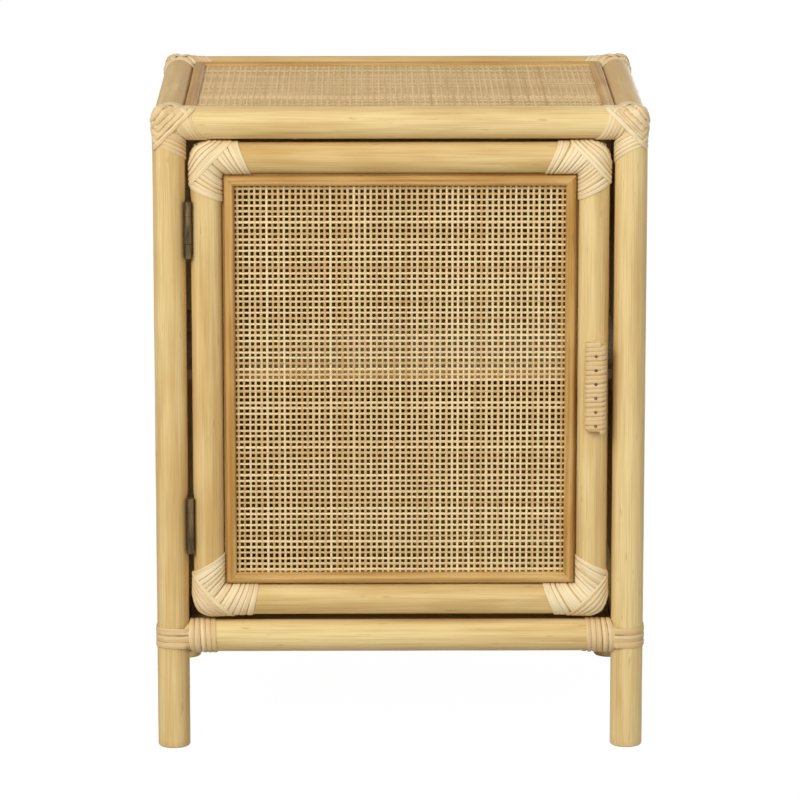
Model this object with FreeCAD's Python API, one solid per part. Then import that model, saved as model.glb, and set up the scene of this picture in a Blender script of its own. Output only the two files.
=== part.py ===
# Storage side table with a door: a rattan pole frame bound with cane strips, cane-covered
# boards on the top, sides and back, one shelf, and a hinged door with open cane in it.
# Millimetres. +Z is up, the door faces -Y, and the origin is on the floor in the middle of the legs.
import FreeCAD, Part
import math
import os
from FreeCAD import Vector

# Overall sizes
WIDTH = 450.0                 # over the legs, without their bindings
DEPTH = 350.0
HEIGHT = 600.0
POLE_D = 30.0                 # legs and rails
FOOT_ROUND = 2.0
LOW_RAIL_Z = 105.0            # axis of the lower rails
RAIL_SEAT = 3.0               # how far a rail end is let over the leg it is coped to
COPE_CLEAR = 0.05

# Frame screws, two at each end of a leg, driven through the leg into the rail ends
SCREW_D = 5.0
SCREW_L = 55.0
SCREW_HEAD_D = 9.0
SCREW_HEAD_T = 3.0
SCREW_SINK = 1.5              # head below the leg's surface
SCREW_STAGGER = 3.0           # the two screws pass each other, this far above and below their middle
FIT_CLEAR = 0.05              # round screws, dowels, nails and pins

# Binding strips
STRIP_T = 1.0
STRIP_CLEAR = 0.1             # a strip lies this far off the pole
STRIP_GAP = 0.5               # between neighbouring turns
SEAT_CLEAR = 0.3              # boards and trims stand this far off a binding
RAIL_WRAP_TURNS = 4
RAIL_WRAP_W = 4.4
LEG_BAND_STRIPS = 3
LEG_BAND_W = 6.0
CORNER_WRAP_START = 20.0      # from a top corner's centre to the first turn
CORNER_WRAP_TURNS = 3
CORNER_WRAP_W = 3.4
CAP_TURNS = 2                 # slits in the cap over a top corner
CAP_STEP = 4.6
CAP_EDGE = 2.5                # cap's lowest edge, from the corner's centre along the diagonal

# Boards and their cane
TOP_BOARD_T = 9.0
TOP_SINK = 7.5                # board's top face below the poles' tops
WALL_BOARD_T = 6.0
BOTTOM_BOARD_T = 9.0
BOTTOM_BOARD_RISE = 2.0       # underside above the lower rails' axis
CANE_T = 1.2
TRIM_W = 10.0
TRIM_ROUND = 1.6
TOP_TRIM_T = 4.5
WALL_TRIM_T = 5.0
TRIM_CANE_GAP = 0.2
BEARER_D = 14.0
BEARER_X = 95.0
SHELF_DROP = 2.0              # underside below the middle between the rails
SHELF_T = 9.0
SHELF_SETBACK = 5.0           # front edge behind the back of the front legs
SHELF_CLEAR = 0.3
BATTEN = 12.0
BATTEN_SETBACK = 4.0

# Door
DOOR_POLE_D = 28.5
DOOR_SIDE_GAP = 4.4
DOOR_TOP_GAP = 3.0
DOOR_BOTTOM_GAP = 5.5
DOOR_BEND_INSIDE = 0.15       # round left at the inside of a bent and bound corner
DOOR_DOWEL_D = 8.0
DOOR_DOWEL_L = 24.0
DOOR_TRIM_FRONT_T = 6.0
DOOR_TRIM_REAR_T = 5.0
NET_T = 1.0
NET_FORWARD = 1.5             # net's front face in front of the door's middle
NET_LAP = 6.0                 # net held under the trims
NET_COLUMNS = 15
NET_ROWS = 18
NET_STRAND_W = 9.5
FAN_REACH = 50.0              # fan centre inside the frame's inner corner, both ways
FAN_HALF_ANGLE = 16.0
FAN_TURNS = 9
CROSS_EDGE = 20.0             # first crossing strip, from the bend's centre along the diagonal
CROSS_STEP = 5.0
CROSS_TURNS = 2

# Hinges
HINGE_L = 50.0
HINGE_TOP_INSET = 39.75       # from the door's top rail axis down to the upper hinge's end
HINGE_LOW_INSET = 47.25       # from the door's bottom rail axis up to the lower hinge's end
HINGE_LEAF_T = 1.2
HINGE_PIN_D = 3.2
HINGE_PIN_FORWARD = 11.0      # pin's axis in front of the door's middle
HINGE_END_KNUCKLE = 12.0
HINGE_KNUCKLE_GAP = 0.3
HINGE_LEAF_BACK = 5.5         # leaf's rear edge behind the poles' axis
HINGE_PIN_CAP = 1.0
HINGE_SCREW_D = 2.8
HINGE_SCREW_L = 13.0
HINGE_SCREW_HEAD_D = 5.2
HINGE_SCREW_HEAD_T = 0.9
HINGE_SCREW_EDGE = 10.0       # screw's axis from the end of its leaf

# Handle
HANDLE_CORE_W = 18.0
HANDLE_CORE_T = 11.4
HANDLE_DROP = 3.25            # its middle below the door's middle
HANDLE_OFFSET = 1.9           # to the right of the stile's axis
HANDLE_FLAT = 1.5             # planed off the stile's front
HANDLE_WRAP_W = 3.8
HANDLE_TURNS_PER_TACK = 3
HANDLE_TACKS = 6
TACK_D = 1.6
TACK_L = 22.0
TACK_HEAD_D = 3.2
TACK_HEAD_T = 0.8

# Magnetic catch under the shelf and its strike plate on the door
CATCH_W = 26.0
CATCH_D = 32.0
CATCH_H = 12.0
CATCH_ROUND = 1.5
CATCH_GAP = 0.5               # between magnet and strike
MAGNET_W = 14.0
MAGNET_D = 9.0
MAGNET_H = 6.0
MAGNET_PROUD = 0.4
CATCH_SCREW_D = 3.0
CATCH_SCREW_REACH = 7.0
CATCH_SCREW_HEAD_D = 6.0
CATCH_SCREW_HEAD_T = 1.8
CATCH_SCREW_PITCH = 18.0
CATCH_SCREW_BACK = 22.0       # behind the catch's front face
STRIKE_W = 9.0
STRIKE_L = 30.0
STRIKE_T = 1.2
STRIKE_FLAT = 1.0
STRIKE_SCREW_PITCH = 20.0
STRIKE_SCREW_D = 2.6
STRIKE_SCREW_L = 10.0
STRIKE_SCREW_HEAD_D = 4.6
STRIKE_SCREW_HEAD_T = 0.4

# Worked out from the above
POLE_R = POLE_D / 2
LEG_X = WIDTH / 2 - POLE_R
LEG_Y = DEPTH / 2 - POLE_R
TOP_RAIL_Z = HEIGHT - POLE_R
BOUND_R = POLE_R + STRIP_CLEAR + STRIP_T
POLE_GAP = STRIP_CLEAR + STRIP_T + SEAT_CLEAR
WALL_LOW_Z = LOW_RAIL_Z + POLE_R + POLE_GAP
WALL_HIGH_Z = TOP_RAIL_Z - POLE_R - POLE_GAP
INNER_X = LEG_X - POLE_R - POLE_GAP
INNER_Y = LEG_Y - POLE_R - POLE_GAP
TOP_BOARD_Z = HEIGHT - TOP_SINK
SHELF_FRONT_Y = -LEG_Y + POLE_R + SHELF_SETBACK
SHELF_Z = (LOW_RAIL_Z + TOP_RAIL_Z) / 2 - SHELF_DROP

DOOR_Y = -LEG_Y
DOOR_R = DOOR_POLE_D / 2
DOOR_BEND_R = DOOR_R + STRIP_CLEAR + STRIP_T + DOOR_BEND_INSIDE
STILE_X = LEG_X - POLE_R - DOOR_SIDE_GAP - DOOR_R
DOOR_TOP_Z = TOP_RAIL_Z - POLE_R - DOOR_TOP_GAP - DOOR_R
DOOR_LOW_Z = LOW_RAIL_Z + POLE_R + DOOR_BOTTOM_GAP + DOOR_R
DOOR_MID_Z = (DOOR_TOP_Z + DOOR_LOW_Z) / 2
DOOR_TRIM_X = STILE_X - DOOR_R - POLE_GAP
DOOR_TRIM_HALF_Z = (DOOR_TOP_Z - DOOR_LOW_Z) / 2 - DOOR_R - POLE_GAP

HINGE_PIN_X = -(LEG_X - POLE_R) + DOOR_SIDE_GAP / 2
HINGE_PIN_Y = DOOR_Y - HINGE_PIN_FORWARD
HINGE_UPPER_Z = DOOR_TOP_Z - HINGE_TOP_INSET - HINGE_L / 2
HINGE_LOWER_Z = DOOR_LOW_Z + HINGE_LOW_INSET + HINGE_L / 2
HINGE_SCREW_PITCH = HINGE_L - 2 * HINGE_SCREW_EDGE
KNUCKLE_R = DOOR_SIDE_GAP / 2 + HINGE_LEAF_T
HANDLE_Z = DOOR_MID_Z - HANDLE_DROP

X_AXIS = Vector(1, 0, 0)
Y_AXIS = Vector(0, 1, 0)
Z_AXIS = Vector(0, 0, 1)
DIAGONAL = math.sqrt(0.5)


def cylinder(start, direction, radius, length):
    return Part.makeCylinder(radius, length, start, direction)


def box(low, high):
    size = high.sub(low)
    return Part.makeBox(size.x, size.y, size.z, low)


def fused(shapes):
    return shapes[0].multiFuse(shapes[1:]).removeSplitter()


def mirrored_x(shape):
    return shape.mirror(Vector(0, 0, 0), X_AXIS)


def mirrored_y(shape):
    return shape.mirror(Vector(0, 0, 0), Y_AXIS)


def moved(shape, offset):
    copy = shape.copy()
    copy.translate(offset)
    return copy


def turned(shape, axis, degrees):
    copy = shape.copy()
    copy.rotate(Vector(0, 0, 0), axis, degrees)
    return copy


def save(name, shapes):
    shape = shapes if not isinstance(shapes, list) else Part.makeCompound(shapes)
    shape.exportStep("parts/" + name + ".step")


# Screws, nails and dowels: a shank that starts at the origin and runs along +Z, with its head below it
def screw(diameter, length, head_d, head_t):
    shank = cylinder(Vector(0, 0, 0), Z_AXIS, diameter / 2, length)
    head = cylinder(Vector(0, 0, -head_t), Z_AXIS, head_d / 2, head_t)
    return fused([shank, head])


def aimed(shape, start, direction):
    placed = shape.copy()
    turn = FreeCAD.Rotation(Z_AXIS, direction)
    placed.Placement = FreeCAD.Placement(start, turn).multiply(shape.Placement)
    return placed


# Binding strips wound round a straight pole. The path climbs one pitch a turn along +Z.
def wound_path(radius, pitch, turns):
    def point(turn):
        angle = 2 * math.pi * turn
        return Vector(radius * math.cos(angle), radius * math.sin(angle), pitch * turn)

    quarters = [i / 4 for i in range(4 * turns)]
    return Part.Wire([Part.Arc(point(q), point(q + 0.125), point(q + 0.25)).toShape() for q in quarters])


def strip_section(near, far, width):
    corners = [Vector(near, 0, -width / 2), Vector(far, 0, -width / 2)]
    corners += [Vector(far, 0, width / 2), Vector(near, 0, width / 2)]
    return Part.makePolygon(corners + corners[:1])


def swept_strip(path, section):
    sweep = Part.BRepOffsetAPI.MakePipeShell(path)
    sweep.setBiNormalMode(Z_AXIS)
    sweep.add(section, False, False)
    sweep.build()
    sweep.makeSolid()
    return sweep.shape()


POINTS_PER_TURN = 48          # where a winding's gap to itself is measured


def print_least_gap(name, path, turns, width):
    points = path.discretize(POINTS_PER_TURN * turns + 1)
    half_turn = POINTS_PER_TURN // 2
    lower = [p.sub(Vector(0, 0, width / 2)) for p in points]
    upper = [p.add(Vector(0, 0, width / 2)) for p in points]
    gap = min(u.distanceToPoint(v) for i, u in enumerate(upper) for v in lower[i + half_turn:])
    print(name, "least gap to itself", round(gap, 3), "mm")


def wound_strip(name, pole_r, turns, width):
    near = pole_r + STRIP_CLEAR
    far = near + STRIP_T
    path = wound_path((near + far) / 2, width + STRIP_GAP, turns)
    print_least_gap(name, path, turns, width)
    return moved(swept_strip(path, strip_section(near, far, width)), Vector(0, 0, width / 2))


# A strip wound over a bent or forked form is the skin of that form, parted by one slit that runs on
# from turn to turn: each turn's slit has two flat halves, and where one ends the next begins.
SKIN_FINENESS = 0.2           # of the points at which a slit is measured
ON_SLIT = 0.001


def print_skin_gap(name, skin, slit_planes):
    points = skin.tessellate(SKIN_FINENESS)[0]
    gaps = []
    for base, normal in slit_planes:
        near = [p for p in points if abs(p.sub(base).dot(normal) + STRIP_GAP / 2) < ON_SLIT]
        far = [p for p in points if abs(p.sub(base).dot(normal) - STRIP_GAP / 2) < ON_SLIT]
        gaps += [p.distanceToPoint(q) for p in near for q in far]
    print(name, "least gap to itself", round(min(gaps), 3), "mm")


def slit(base, along, across, reach):
    # a thin plate through base, square to along x across, on the side of base that across points to
    normal = along.cross(across).normalize()
    plate = Part.makeBox(2 * reach, reach, STRIP_GAP, Vector(-reach, 0, -STRIP_GAP / 2))
    turn = FreeCAD.Rotation(along, across, normal, "XYZ")
    plate.Placement = FreeCAD.Placement(base, turn)
    return plate, (base, normal)


# Frame: legs, rails and their screws. One quarter is drawn at the front left and mirrored.
def leg_solid():
    top = Vector(0, 0, TOP_RAIL_Z + POLE_R)
    shoulder = Vector(POLE_R, 0, TOP_RAIL_Z)
    ball_mid = Vector(POLE_R * DIAGONAL, 0, TOP_RAIL_Z + POLE_R * DIAGONAL)
    foot_in = Vector(POLE_R - FOOT_ROUND, 0, 0)
    foot_out = Vector(POLE_R, 0, FOOT_ROUND)
    foot_mid = Vector(POLE_R - FOOT_ROUND * (1 - DIAGONAL), 0, FOOT_ROUND * (1 - DIAGONAL))
    profile = Part.Wire([
        Part.LineSegment(Vector(0, 0, 0), foot_in).toShape(),
        Part.Arc(foot_in, foot_mid, foot_out).toShape(),
        Part.LineSegment(foot_out, shoulder).toShape(),
        Part.Arc(shoulder, ball_mid, top).toShape(),
        Part.LineSegment(top, Vector(0, 0, 0)).toShape(),
    ])
    solid = Part.Face(profile).revolve(Vector(0, 0, 0), Z_AXIS, 360)
    return moved(solid, Vector(-LEG_X, -LEG_Y, 0))


SCREW_SEAT = POLE_R - SCREW_SINK - SCREW_HEAD_T
FRAME_SCREW = screw(SCREW_D, SCREW_L, SCREW_HEAD_D, SCREW_HEAD_T)
FRAME_SCREW_HOLE = fused([
    cylinder(Vector(0, 0, 0), Z_AXIS, SCREW_D / 2 + FIT_CLEAR, SCREW_L + FIT_CLEAR),
    cylinder(Vector(0, 0, -POLE_R), Z_AXIS, SCREW_HEAD_D / 2 + FIT_CLEAR, POLE_R),
])


def corner_screws(shape):
    placed = []
    for z in (LOW_RAIL_Z, TOP_RAIL_Z - SCREW_STAGGER):
        along_x = Vector(-LEG_X - SCREW_SEAT, -LEG_Y, z + SCREW_STAGGER)
        along_y = Vector(-LEG_X, -LEG_Y - SCREW_SEAT, z - SCREW_STAGGER)
        placed += [aimed(shape, along_x, X_AXIS), aimed(shape, along_y, Y_AXIS)]
    return placed


CORNER_SCREWS = corner_screws(FRAME_SCREW)
CORNER_HOLES = corner_screws(FRAME_SCREW_HOLE)


def rail_solid(z, along_x):
    # coped to the legs at both ends, and mitred inside the corner where the two rails meet
    leg_at = LEG_X if along_x else LEG_Y
    end = leg_at - POLE_R + RAIL_SEAT
    axis = X_AXIS if along_x else Y_AXIS
    other = -LEG_Y * Y_AXIS if along_x else -LEG_X * X_AXIS
    rail = cylinder(-end * axis + other + Vector(0, 0, z), axis, POLE_R, 2 * end)
    corner = Vector(-LEG_X, -LEG_Y, 0)
    cope = cylinder(corner, Z_AXIS, POLE_R + COPE_CLEAR, HEIGHT)
    mitre = Part.makeBox(2 * POLE_D, 2 * POLE_D, HEIGHT, Vector(0, -COPE_CLEAR, 0))
    if not along_x:
        mitre = mirrored_y(mitre)
    mitre = moved(turned(mitre, Z_AXIS, 45), corner)
    holes = CORNER_HOLES + [cope, mitre]
    mirror = mirrored_x if along_x else mirrored_y
    return rail.cut(holes + [mirror(hole) for hole in holes])


def hinge_flats(face_x, depth_sign):
    # where a leaf is let into a pole, flush with the pole's side
    flats = []
    for z in (HINGE_UPPER_Z, HINGE_LOWER_Z):
        half = HINGE_L / 2 + FIT_CLEAR
        inner = face_x + depth_sign * HINGE_LEAF_T
        low = Vector(min(face_x, inner), DOOR_Y - POLE_R, z - half)
        high = Vector(max(face_x, inner), DOOR_Y + POLE_R, z + half)
        flats.append(box(low, high))
    return flats


LEG_FACE_X = -(LEG_X - POLE_R)
STILE_FACE_X = -(STILE_X + DOOR_R)


def build_frame():
    quarter = leg_solid().cut(CORNER_HOLES)
    hinge_screw_holes = hinge_screws(-1, HINGE_SCREW_D / 2 + FIT_CLEAR)
    hinge_leg = quarter.cut(hinge_flats(LEG_FACE_X, -1) + hinge_screw_holes)
    save("front_left_leg", hinge_leg)
    save("front_right_leg", mirrored_x(quarter))
    save("rear_left_leg", mirrored_y(quarter))
    save("rear_right_leg", mirrored_x(mirrored_y(quarter)))
    for level, z in (("lower", LOW_RAIL_Z), ("upper", TOP_RAIL_Z)):
        front = rail_solid(z, True)
        left = rail_solid(z, False)
        save(level + "_front_rail", front)
        save(level + "_rear_rail", mirrored_y(front))
        save(level + "_left_rail", left)
        save(level + "_right_rail", mirrored_x(left))
    left_screws = CORNER_SCREWS + [mirrored_y(s) for s in CORNER_SCREWS]
    save("frame_screws", left_screws + [mirrored_x(s) for s in left_screws])


# Bindings of the frame, drawn at the front left corner
def low_binding():
    wrap = wound_strip("rail binding", POLE_R, RAIL_WRAP_TURNS, RAIL_WRAP_W)
    start = BOUND_R + SEAT_CLEAR
    on_front_rail = aimed(wrap, Vector(-LEG_X + start, -LEG_Y, LOW_RAIL_Z), X_AXIS)
    on_side_rail = aimed(wrap, Vector(-LEG_X, -LEG_Y + start, LOW_RAIL_Z), Y_AXIS)
    # flat strips from rail to rail round the outside of the leg, their ends at the rail bindings
    near = POLE_R + STRIP_CLEAR
    tail = BOUND_R - SEAT_CLEAR

    def outline(radius):
        front = [Vector(tail, -radius, 0), Vector(0, -radius, 0)]
        middle = Vector(-radius * DIAGONAL, -radius * DIAGONAL, 0)
        side = [Vector(-radius, 0, 0), Vector(-radius, tail, 0)]
        return front + [middle] + side

    a0, a1, a2, a3, a4 = outline(near)
    b0, b1, b2, b3, b4 = outline(near + STRIP_T)
    band = Part.Face(Part.Wire([
        Part.LineSegment(a0, a1).toShape(),
        Part.Arc(a1, a2, a3).toShape(),
        Part.LineSegment(a3, a4).toShape(),
        Part.LineSegment(a4, b4).toShape(),
        Part.LineSegment(b4, b3).toShape(),
        Part.Arc(b3, b2, b1).toShape(),
        Part.LineSegment(b1, b0).toShape(),
        Part.LineSegment(b0, a0).toShape(),
    ])).extrude(LEG_BAND_W * Z_AXIS)
    pitch = LEG_BAND_W + STRIP_GAP
    lowest = LOW_RAIL_Z - (LEG_BAND_STRIPS * pitch - STRIP_GAP) / 2
    bands = [moved(band, Vector(-LEG_X, -LEG_Y, lowest + i * pitch)) for i in range(LEG_BAND_STRIPS)]
    return [on_front_rail, on_side_rail] + bands


def corner_fork(radius):
    # the meeting of a leg and two rails, as long as its cap needs
    reach = 2 * POLE_D
    parts = [Part.makeSphere(radius)]
    for direction in (X_AXIS, Y_AXIS, -1 * Z_AXIS):
        parts.append(cylinder(Vector(0, 0, 0), direction, radius, reach))
    return fused(parts)


def corner_cap():
    # strips laid round the outer corner, square to the line that leads out of it
    reach = 2 * POLE_D
    out = Vector(-1, -1, 1).normalize()
    side = Vector(1, -1, 0).normalize()
    up = out.cross(side).normalize()
    skin = corner_fork(BOUND_R).cut(corner_fork(POLE_R + STRIP_CLEAR))
    keep = Part.makeBox(2 * reach, 2 * reach, reach, Vector(-reach, -reach, 0))
    keep.Placement = FreeCAD.Placement(CAP_EDGE * out, FreeCAD.Rotation(side, up, out, "XYZ"))
    skin = skin.common(keep)
    lean = CAP_STEP / 4 / POLE_R
    plates = []
    planes = []
    for turn in range(CAP_TURNS):
        foot = CAP_EDGE + CAP_STEP * (turn + 1)
        for half, sign in ((-0.25, 1), (0.25, -1)):
            base = (foot + half * CAP_STEP) * out
            along = (up + sign * lean * out).normalize()
            plate, plane = slit(base, along, sign * side, reach)
            plates.append(plate)
            planes.append(plane)
    cap = skin.cut(plates)
    print_skin_gap("corner cap", cap, planes)
    return cap.Solids


def top_binding():
    wrap = wound_strip("corner binding", POLE_R, CORNER_WRAP_TURNS, CORNER_WRAP_W)
    centre = Vector(-LEG_X, -LEG_Y, TOP_RAIL_Z)
    pieces = []
    for direction in (X_AXIS, Y_AXIS, -1 * Z_AXIS):
        pieces.append(aimed(wrap, centre + CORNER_WRAP_START * direction, direction))
    return pieces + [moved(solid, centre) for solid in corner_cap()]


def build_bindings():
    for level, pieces in (("lower", low_binding()), ("upper", top_binding())):
        rear = [mirrored_y(p) for p in pieces]
        save(level + "_front_left_binding", pieces)
        save(level + "_rear_left_binding", rear)
        save(level + "_front_right_binding", [mirrored_x(p) for p in pieces])
        save(level + "_rear_right_binding", [mirrored_x(p) for p in rear])


# Trims: four mitred strips with rounded faces, drawn flat about the origin and standing up along +Z
def trim_strip(length, thickness):
    low = TRIM_ROUND * (1 - DIAGONAL)
    high = thickness - low
    shoulder = thickness - TRIM_ROUND
    outer_top = Vector(0, TRIM_ROUND, thickness)
    inner_top = Vector(0, TRIM_W - TRIM_ROUND, thickness)
    outer_side = Vector(0, 0, shoulder)
    inner_side = Vector(0, TRIM_W, shoulder)
    profile = Part.Wire([
        Part.LineSegment(Vector(0, 0, 0), Vector(0, TRIM_W, 0)).toShape(),
        Part.LineSegment(Vector(0, TRIM_W, 0), inner_side).toShape(),
        Part.Arc(inner_side, Vector(0, TRIM_W - low, high), inner_top).toShape(),
        Part.LineSegment(inner_top, outer_top).toShape(),
        Part.Arc(outer_top, Vector(0, low, high), outer_side).toShape(),
        Part.LineSegment(outer_side, Vector(0, 0, 0)).toShape(),
    ])
    bar = Part.Face(profile).extrude(length * X_AXIS)
    plan = [Vector(0, 0, 0), Vector(length, 0, 0)]
    plan += [Vector(length - TRIM_W, TRIM_W, 0), Vector(TRIM_W, TRIM_W, 0)]
    mitred = Part.Face(Part.makePolygon(plan + plan[:1])).extrude(thickness * Z_AXIS)
    return moved(bar.common(mitred), Vector(-length / 2, 0, 0))


def trim_frame(half_u, half_v, thickness):
    strips = []
    for first_angle, length, out in ((0, half_u, half_v), (90, half_v, half_u)):
        strip = moved(trim_strip(2 * length, thickness), Vector(0, -out, 0))
        strips += [turned(strip, Z_AXIS, first_angle), turned(strip, Z_AXIS, first_angle + 180)]
    return strips


def stood(shapes, centre, normal):
    # a flat drawing stood up so that its +Z points along normal and its +Y points up
    sideways = Z_AXIS.cross(normal)
    turn = FreeCAD.Rotation(sideways, Z_AXIS, normal, "XYZ")
    placed = []
    for shape in shapes:
        copy = shape.copy()
        copy.Placement = FreeCAD.Placement(centre, turn).multiply(copy.Placement)
        placed.append(copy)
    return placed


def flat_board(half_u, half_v, thickness):
    return Part.makeBox(2 * half_u, 2 * half_v, thickness, Vector(-half_u, -half_v, 0))


# Boards with cane and trims
def build_top():
    board_low = Vector(0, 0, TOP_BOARD_Z - TOP_BOARD_T)
    save("top_board", moved(flat_board(INNER_X, INNER_Y, TOP_BOARD_T), board_low))
    # the trims stand above the rails' axes, so they reach out over the board's edge to the rails
    above_axis = TOP_BOARD_Z - TOP_RAIL_Z
    rail_side = math.sqrt(BOUND_R ** 2 - above_axis ** 2) + SEAT_CLEAR
    trim_x = LEG_X - rail_side
    trim_y = LEG_Y - rail_side
    board_top = Vector(0, 0, TOP_BOARD_Z)
    save("top_trim", [moved(s, board_top) for s in trim_frame(trim_x, trim_y, TOP_TRIM_T)])
    inset = TRIM_W + TRIM_CANE_GAP
    save("top_cane", moved(flat_board(trim_x - inset, trim_y - inset, CANE_T), board_top))


BOTTOM_BOARD_Z = LOW_RAIL_Z + BOTTOM_BOARD_RISE


def bearers(board_z, rail_z):
    # round bars from the front rail to the rear one, under a board
    z = board_z - BEARER_D / 2
    rail = cylinder(Vector(-LEG_X, -LEG_Y, rail_z), X_AXIS, POLE_R + COPE_CLEAR, 2 * LEG_X)
    pair = []
    for x in (-BEARER_X, BEARER_X):
        bar = cylinder(Vector(x, -LEG_Y, z), Y_AXIS, BEARER_D / 2, 2 * LEG_Y)
        pair.append(max(bar.cut([rail, mirrored_y(rail)]).Solids, key=lambda solid: solid.Volume))
    return pair


def build_wall(name, half_u, centre, normal):
    half_v = (WALL_HIGH_Z - WALL_LOW_Z) / 2
    middle = centre + Vector(0, 0, (WALL_HIGH_Z + WALL_LOW_Z) / 2)
    face = middle + WALL_BOARD_T / 2 * normal
    inset = TRIM_W + TRIM_CANE_GAP
    board = flat_board(half_u, half_v, WALL_BOARD_T)
    cane = flat_board(half_u - inset, half_v - inset, CANE_T)
    save(name + "_board", stood([board], middle - WALL_BOARD_T / 2 * normal, normal))
    save(name + "_cane", stood([cane], face, normal))
    save(name + "_trim", stood(trim_frame(half_u, half_v, WALL_TRIM_T), face, normal))


def build_walls():
    build_wall("left_side", INNER_Y, Vector(-LEG_X, 0, 0), -1 * X_AXIS)
    build_wall("right_side", INNER_Y, Vector(LEG_X, 0, 0), X_AXIS)
    build_wall("back", INNER_X, Vector(0, LEG_Y, 0), Y_AXIS)


def build_bottom():
    low = Vector(0, 0, BOTTOM_BOARD_Z)
    save("bottom_board", moved(flat_board(INNER_X, INNER_Y, BOTTOM_BOARD_T), low))
    under_top = bearers(TOP_BOARD_Z - TOP_BOARD_T, TOP_RAIL_Z)
    save("board_bearers", under_top + bearers(BOTTOM_BOARD_Z, LOW_RAIL_Z))


WALL_INNER_X = LEG_X - WALL_BOARD_T / 2
CATCH_FRONT_Y = DOOR_Y + DOOR_R - STRIKE_FLAT + STRIKE_T + CATCH_GAP + MAGNET_PROUD
CATCH_LOW_Z = SHELF_Z - CATCH_H
CATCH_MID_Z = SHELF_Z - CATCH_H / 2
CATCH_SCREW = screw(CATCH_SCREW_D, CATCH_H + CATCH_SCREW_REACH, CATCH_SCREW_HEAD_D, CATCH_SCREW_HEAD_T)


def catch_screw_spots():
    y = CATCH_FRONT_Y + CATCH_SCREW_BACK
    return [Vector(STILE_X + side * CATCH_SCREW_PITCH / 2, y, CATCH_LOW_Z) for side in (-1, 1)]


def build_shelf():
    half_x = WALL_INNER_X - SHELF_CLEAR
    rear_y = LEG_Y - WALL_BOARD_T / 2 - SHELF_CLEAR
    board = box(Vector(-half_x, SHELF_FRONT_Y, SHELF_Z), Vector(half_x, rear_y, SHELF_Z + SHELF_T))
    notch = cylinder(Vector(-LEG_X, LEG_Y, 0), Z_AXIS, POLE_R + SHELF_CLEAR, HEIGHT)
    pilot_r = CATCH_SCREW_D / 2 + FIT_CLEAR
    pilot_l = CATCH_H + CATCH_SCREW_REACH + FIT_CLEAR
    pilots = [cylinder(spot, Z_AXIS, pilot_r, pilot_l) for spot in catch_screw_spots()]
    save("shelf", board.cut([notch, mirrored_x(notch)] + pilots))
    batten_y = INNER_Y - BATTEN_SETBACK
    low = Vector(-WALL_INNER_X, -batten_y, SHELF_Z - BATTEN)
    high = Vector(-WALL_INNER_X + BATTEN, batten_y, SHELF_Z)
    batten = box(low, high)
    save("shelf_battens", [batten, mirrored_x(batten)])


def build_catch():
    half = Vector(CATCH_W / 2, 0, 0)
    front = Vector(STILE_X, CATCH_FRONT_Y, CATCH_LOW_Z)
    body = box(front - half, front + half + Vector(0, CATCH_D, CATCH_H))
    upright = [e for e in body.Edges if abs(e.Vertexes[0].Z - e.Vertexes[1].Z) > CATCH_H / 2]
    body = body.makeFillet(CATCH_ROUND, upright)
    clear = Vector(FIT_CLEAR, 0, FIT_CLEAR)
    magnet_low = Vector(STILE_X - MAGNET_W / 2, CATCH_FRONT_Y - MAGNET_PROUD, CATCH_MID_Z - MAGNET_H / 2)
    magnet_high = magnet_low + Vector(MAGNET_W, MAGNET_D + MAGNET_PROUD, MAGNET_H)
    pocket = box(magnet_low - clear, magnet_high + clear)
    holes = [cylinder(spot, Z_AXIS, CATCH_SCREW_D / 2 + FIT_CLEAR, CATCH_H) for spot in catch_screw_spots()]
    save("catch_body", body.cut([pocket] + holes))
    save("catch_magnet", box(magnet_low, magnet_high))
    catch_screws = [aimed(CATCH_SCREW, spot, Z_AXIS) for spot in catch_screw_spots()]
    save("cabinet_screws", catch_screws + hinge_screws(-1))


# Hinges
def hinge_screws(side, radius=None):
    # side -1 goes into the leg, 1 into the door's stile; with a radius, the holes for them
    face_x = LEG_FACE_X if side < 0 else STILE_FACE_X
    spots = []
    for z in (HINGE_UPPER_Z, HINGE_LOWER_Z):
        for step in (-0.5, 0.5):
            spots.append(Vector(face_x, DOOR_Y, z + step * HINGE_SCREW_PITCH))
    direction = side * X_AXIS
    if radius:
        return [cylinder(spot, direction, radius, HINGE_SCREW_L + FIT_CLEAR) for spot in spots]
    one = screw(HINGE_SCREW_D, HINGE_SCREW_L, HINGE_SCREW_HEAD_D, HINGE_SCREW_HEAD_T)
    return [aimed(one, spot, direction) for spot in spots]


def hinge_leaf(side, z, spans):
    outer = HINGE_PIN_X + side * KNUCKLE_R
    inner = outer - side * HINGE_LEAF_T
    low = Vector(min(outer, inner), HINGE_PIN_Y, z - HINGE_L / 2)
    high = Vector(max(outer, inner), DOOR_Y + HINGE_LEAF_BACK, z + HINGE_L / 2)
    plate = box(low, high)
    knuckles = []
    gaps = []
    below = -HINGE_L / 2
    for start, end in spans:
        pin_at = Vector(HINGE_PIN_X, HINGE_PIN_Y, z + start)
        knuckles.append(cylinder(pin_at, Z_AXIS, KNUCKLE_R, end - start))
        gaps.append((below, start))
        below = end
    gaps.append((below, HINGE_L / 2))
    bore_foot = Vector(HINGE_PIN_X, HINGE_PIN_Y, z - HINGE_L)
    bore = cylinder(bore_foot, Z_AXIS, HINGE_PIN_D / 2 + FIT_CLEAR, 2 * HINGE_L)
    reach = KNUCKLE_R + HINGE_KNUCKLE_GAP
    notches = []
    for start, end in gaps:
        if end > start:
            pin_at = Vector(HINGE_PIN_X, HINGE_PIN_Y, z + start)
            notches.append(cylinder(pin_at, Z_AXIS, reach, end - start))
    screw_holes = hinge_screws(side, HINGE_SCREW_D / 2 + FIT_CLEAR)
    return fused([plate] + knuckles).cut([bore] + notches + screw_holes)


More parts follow.
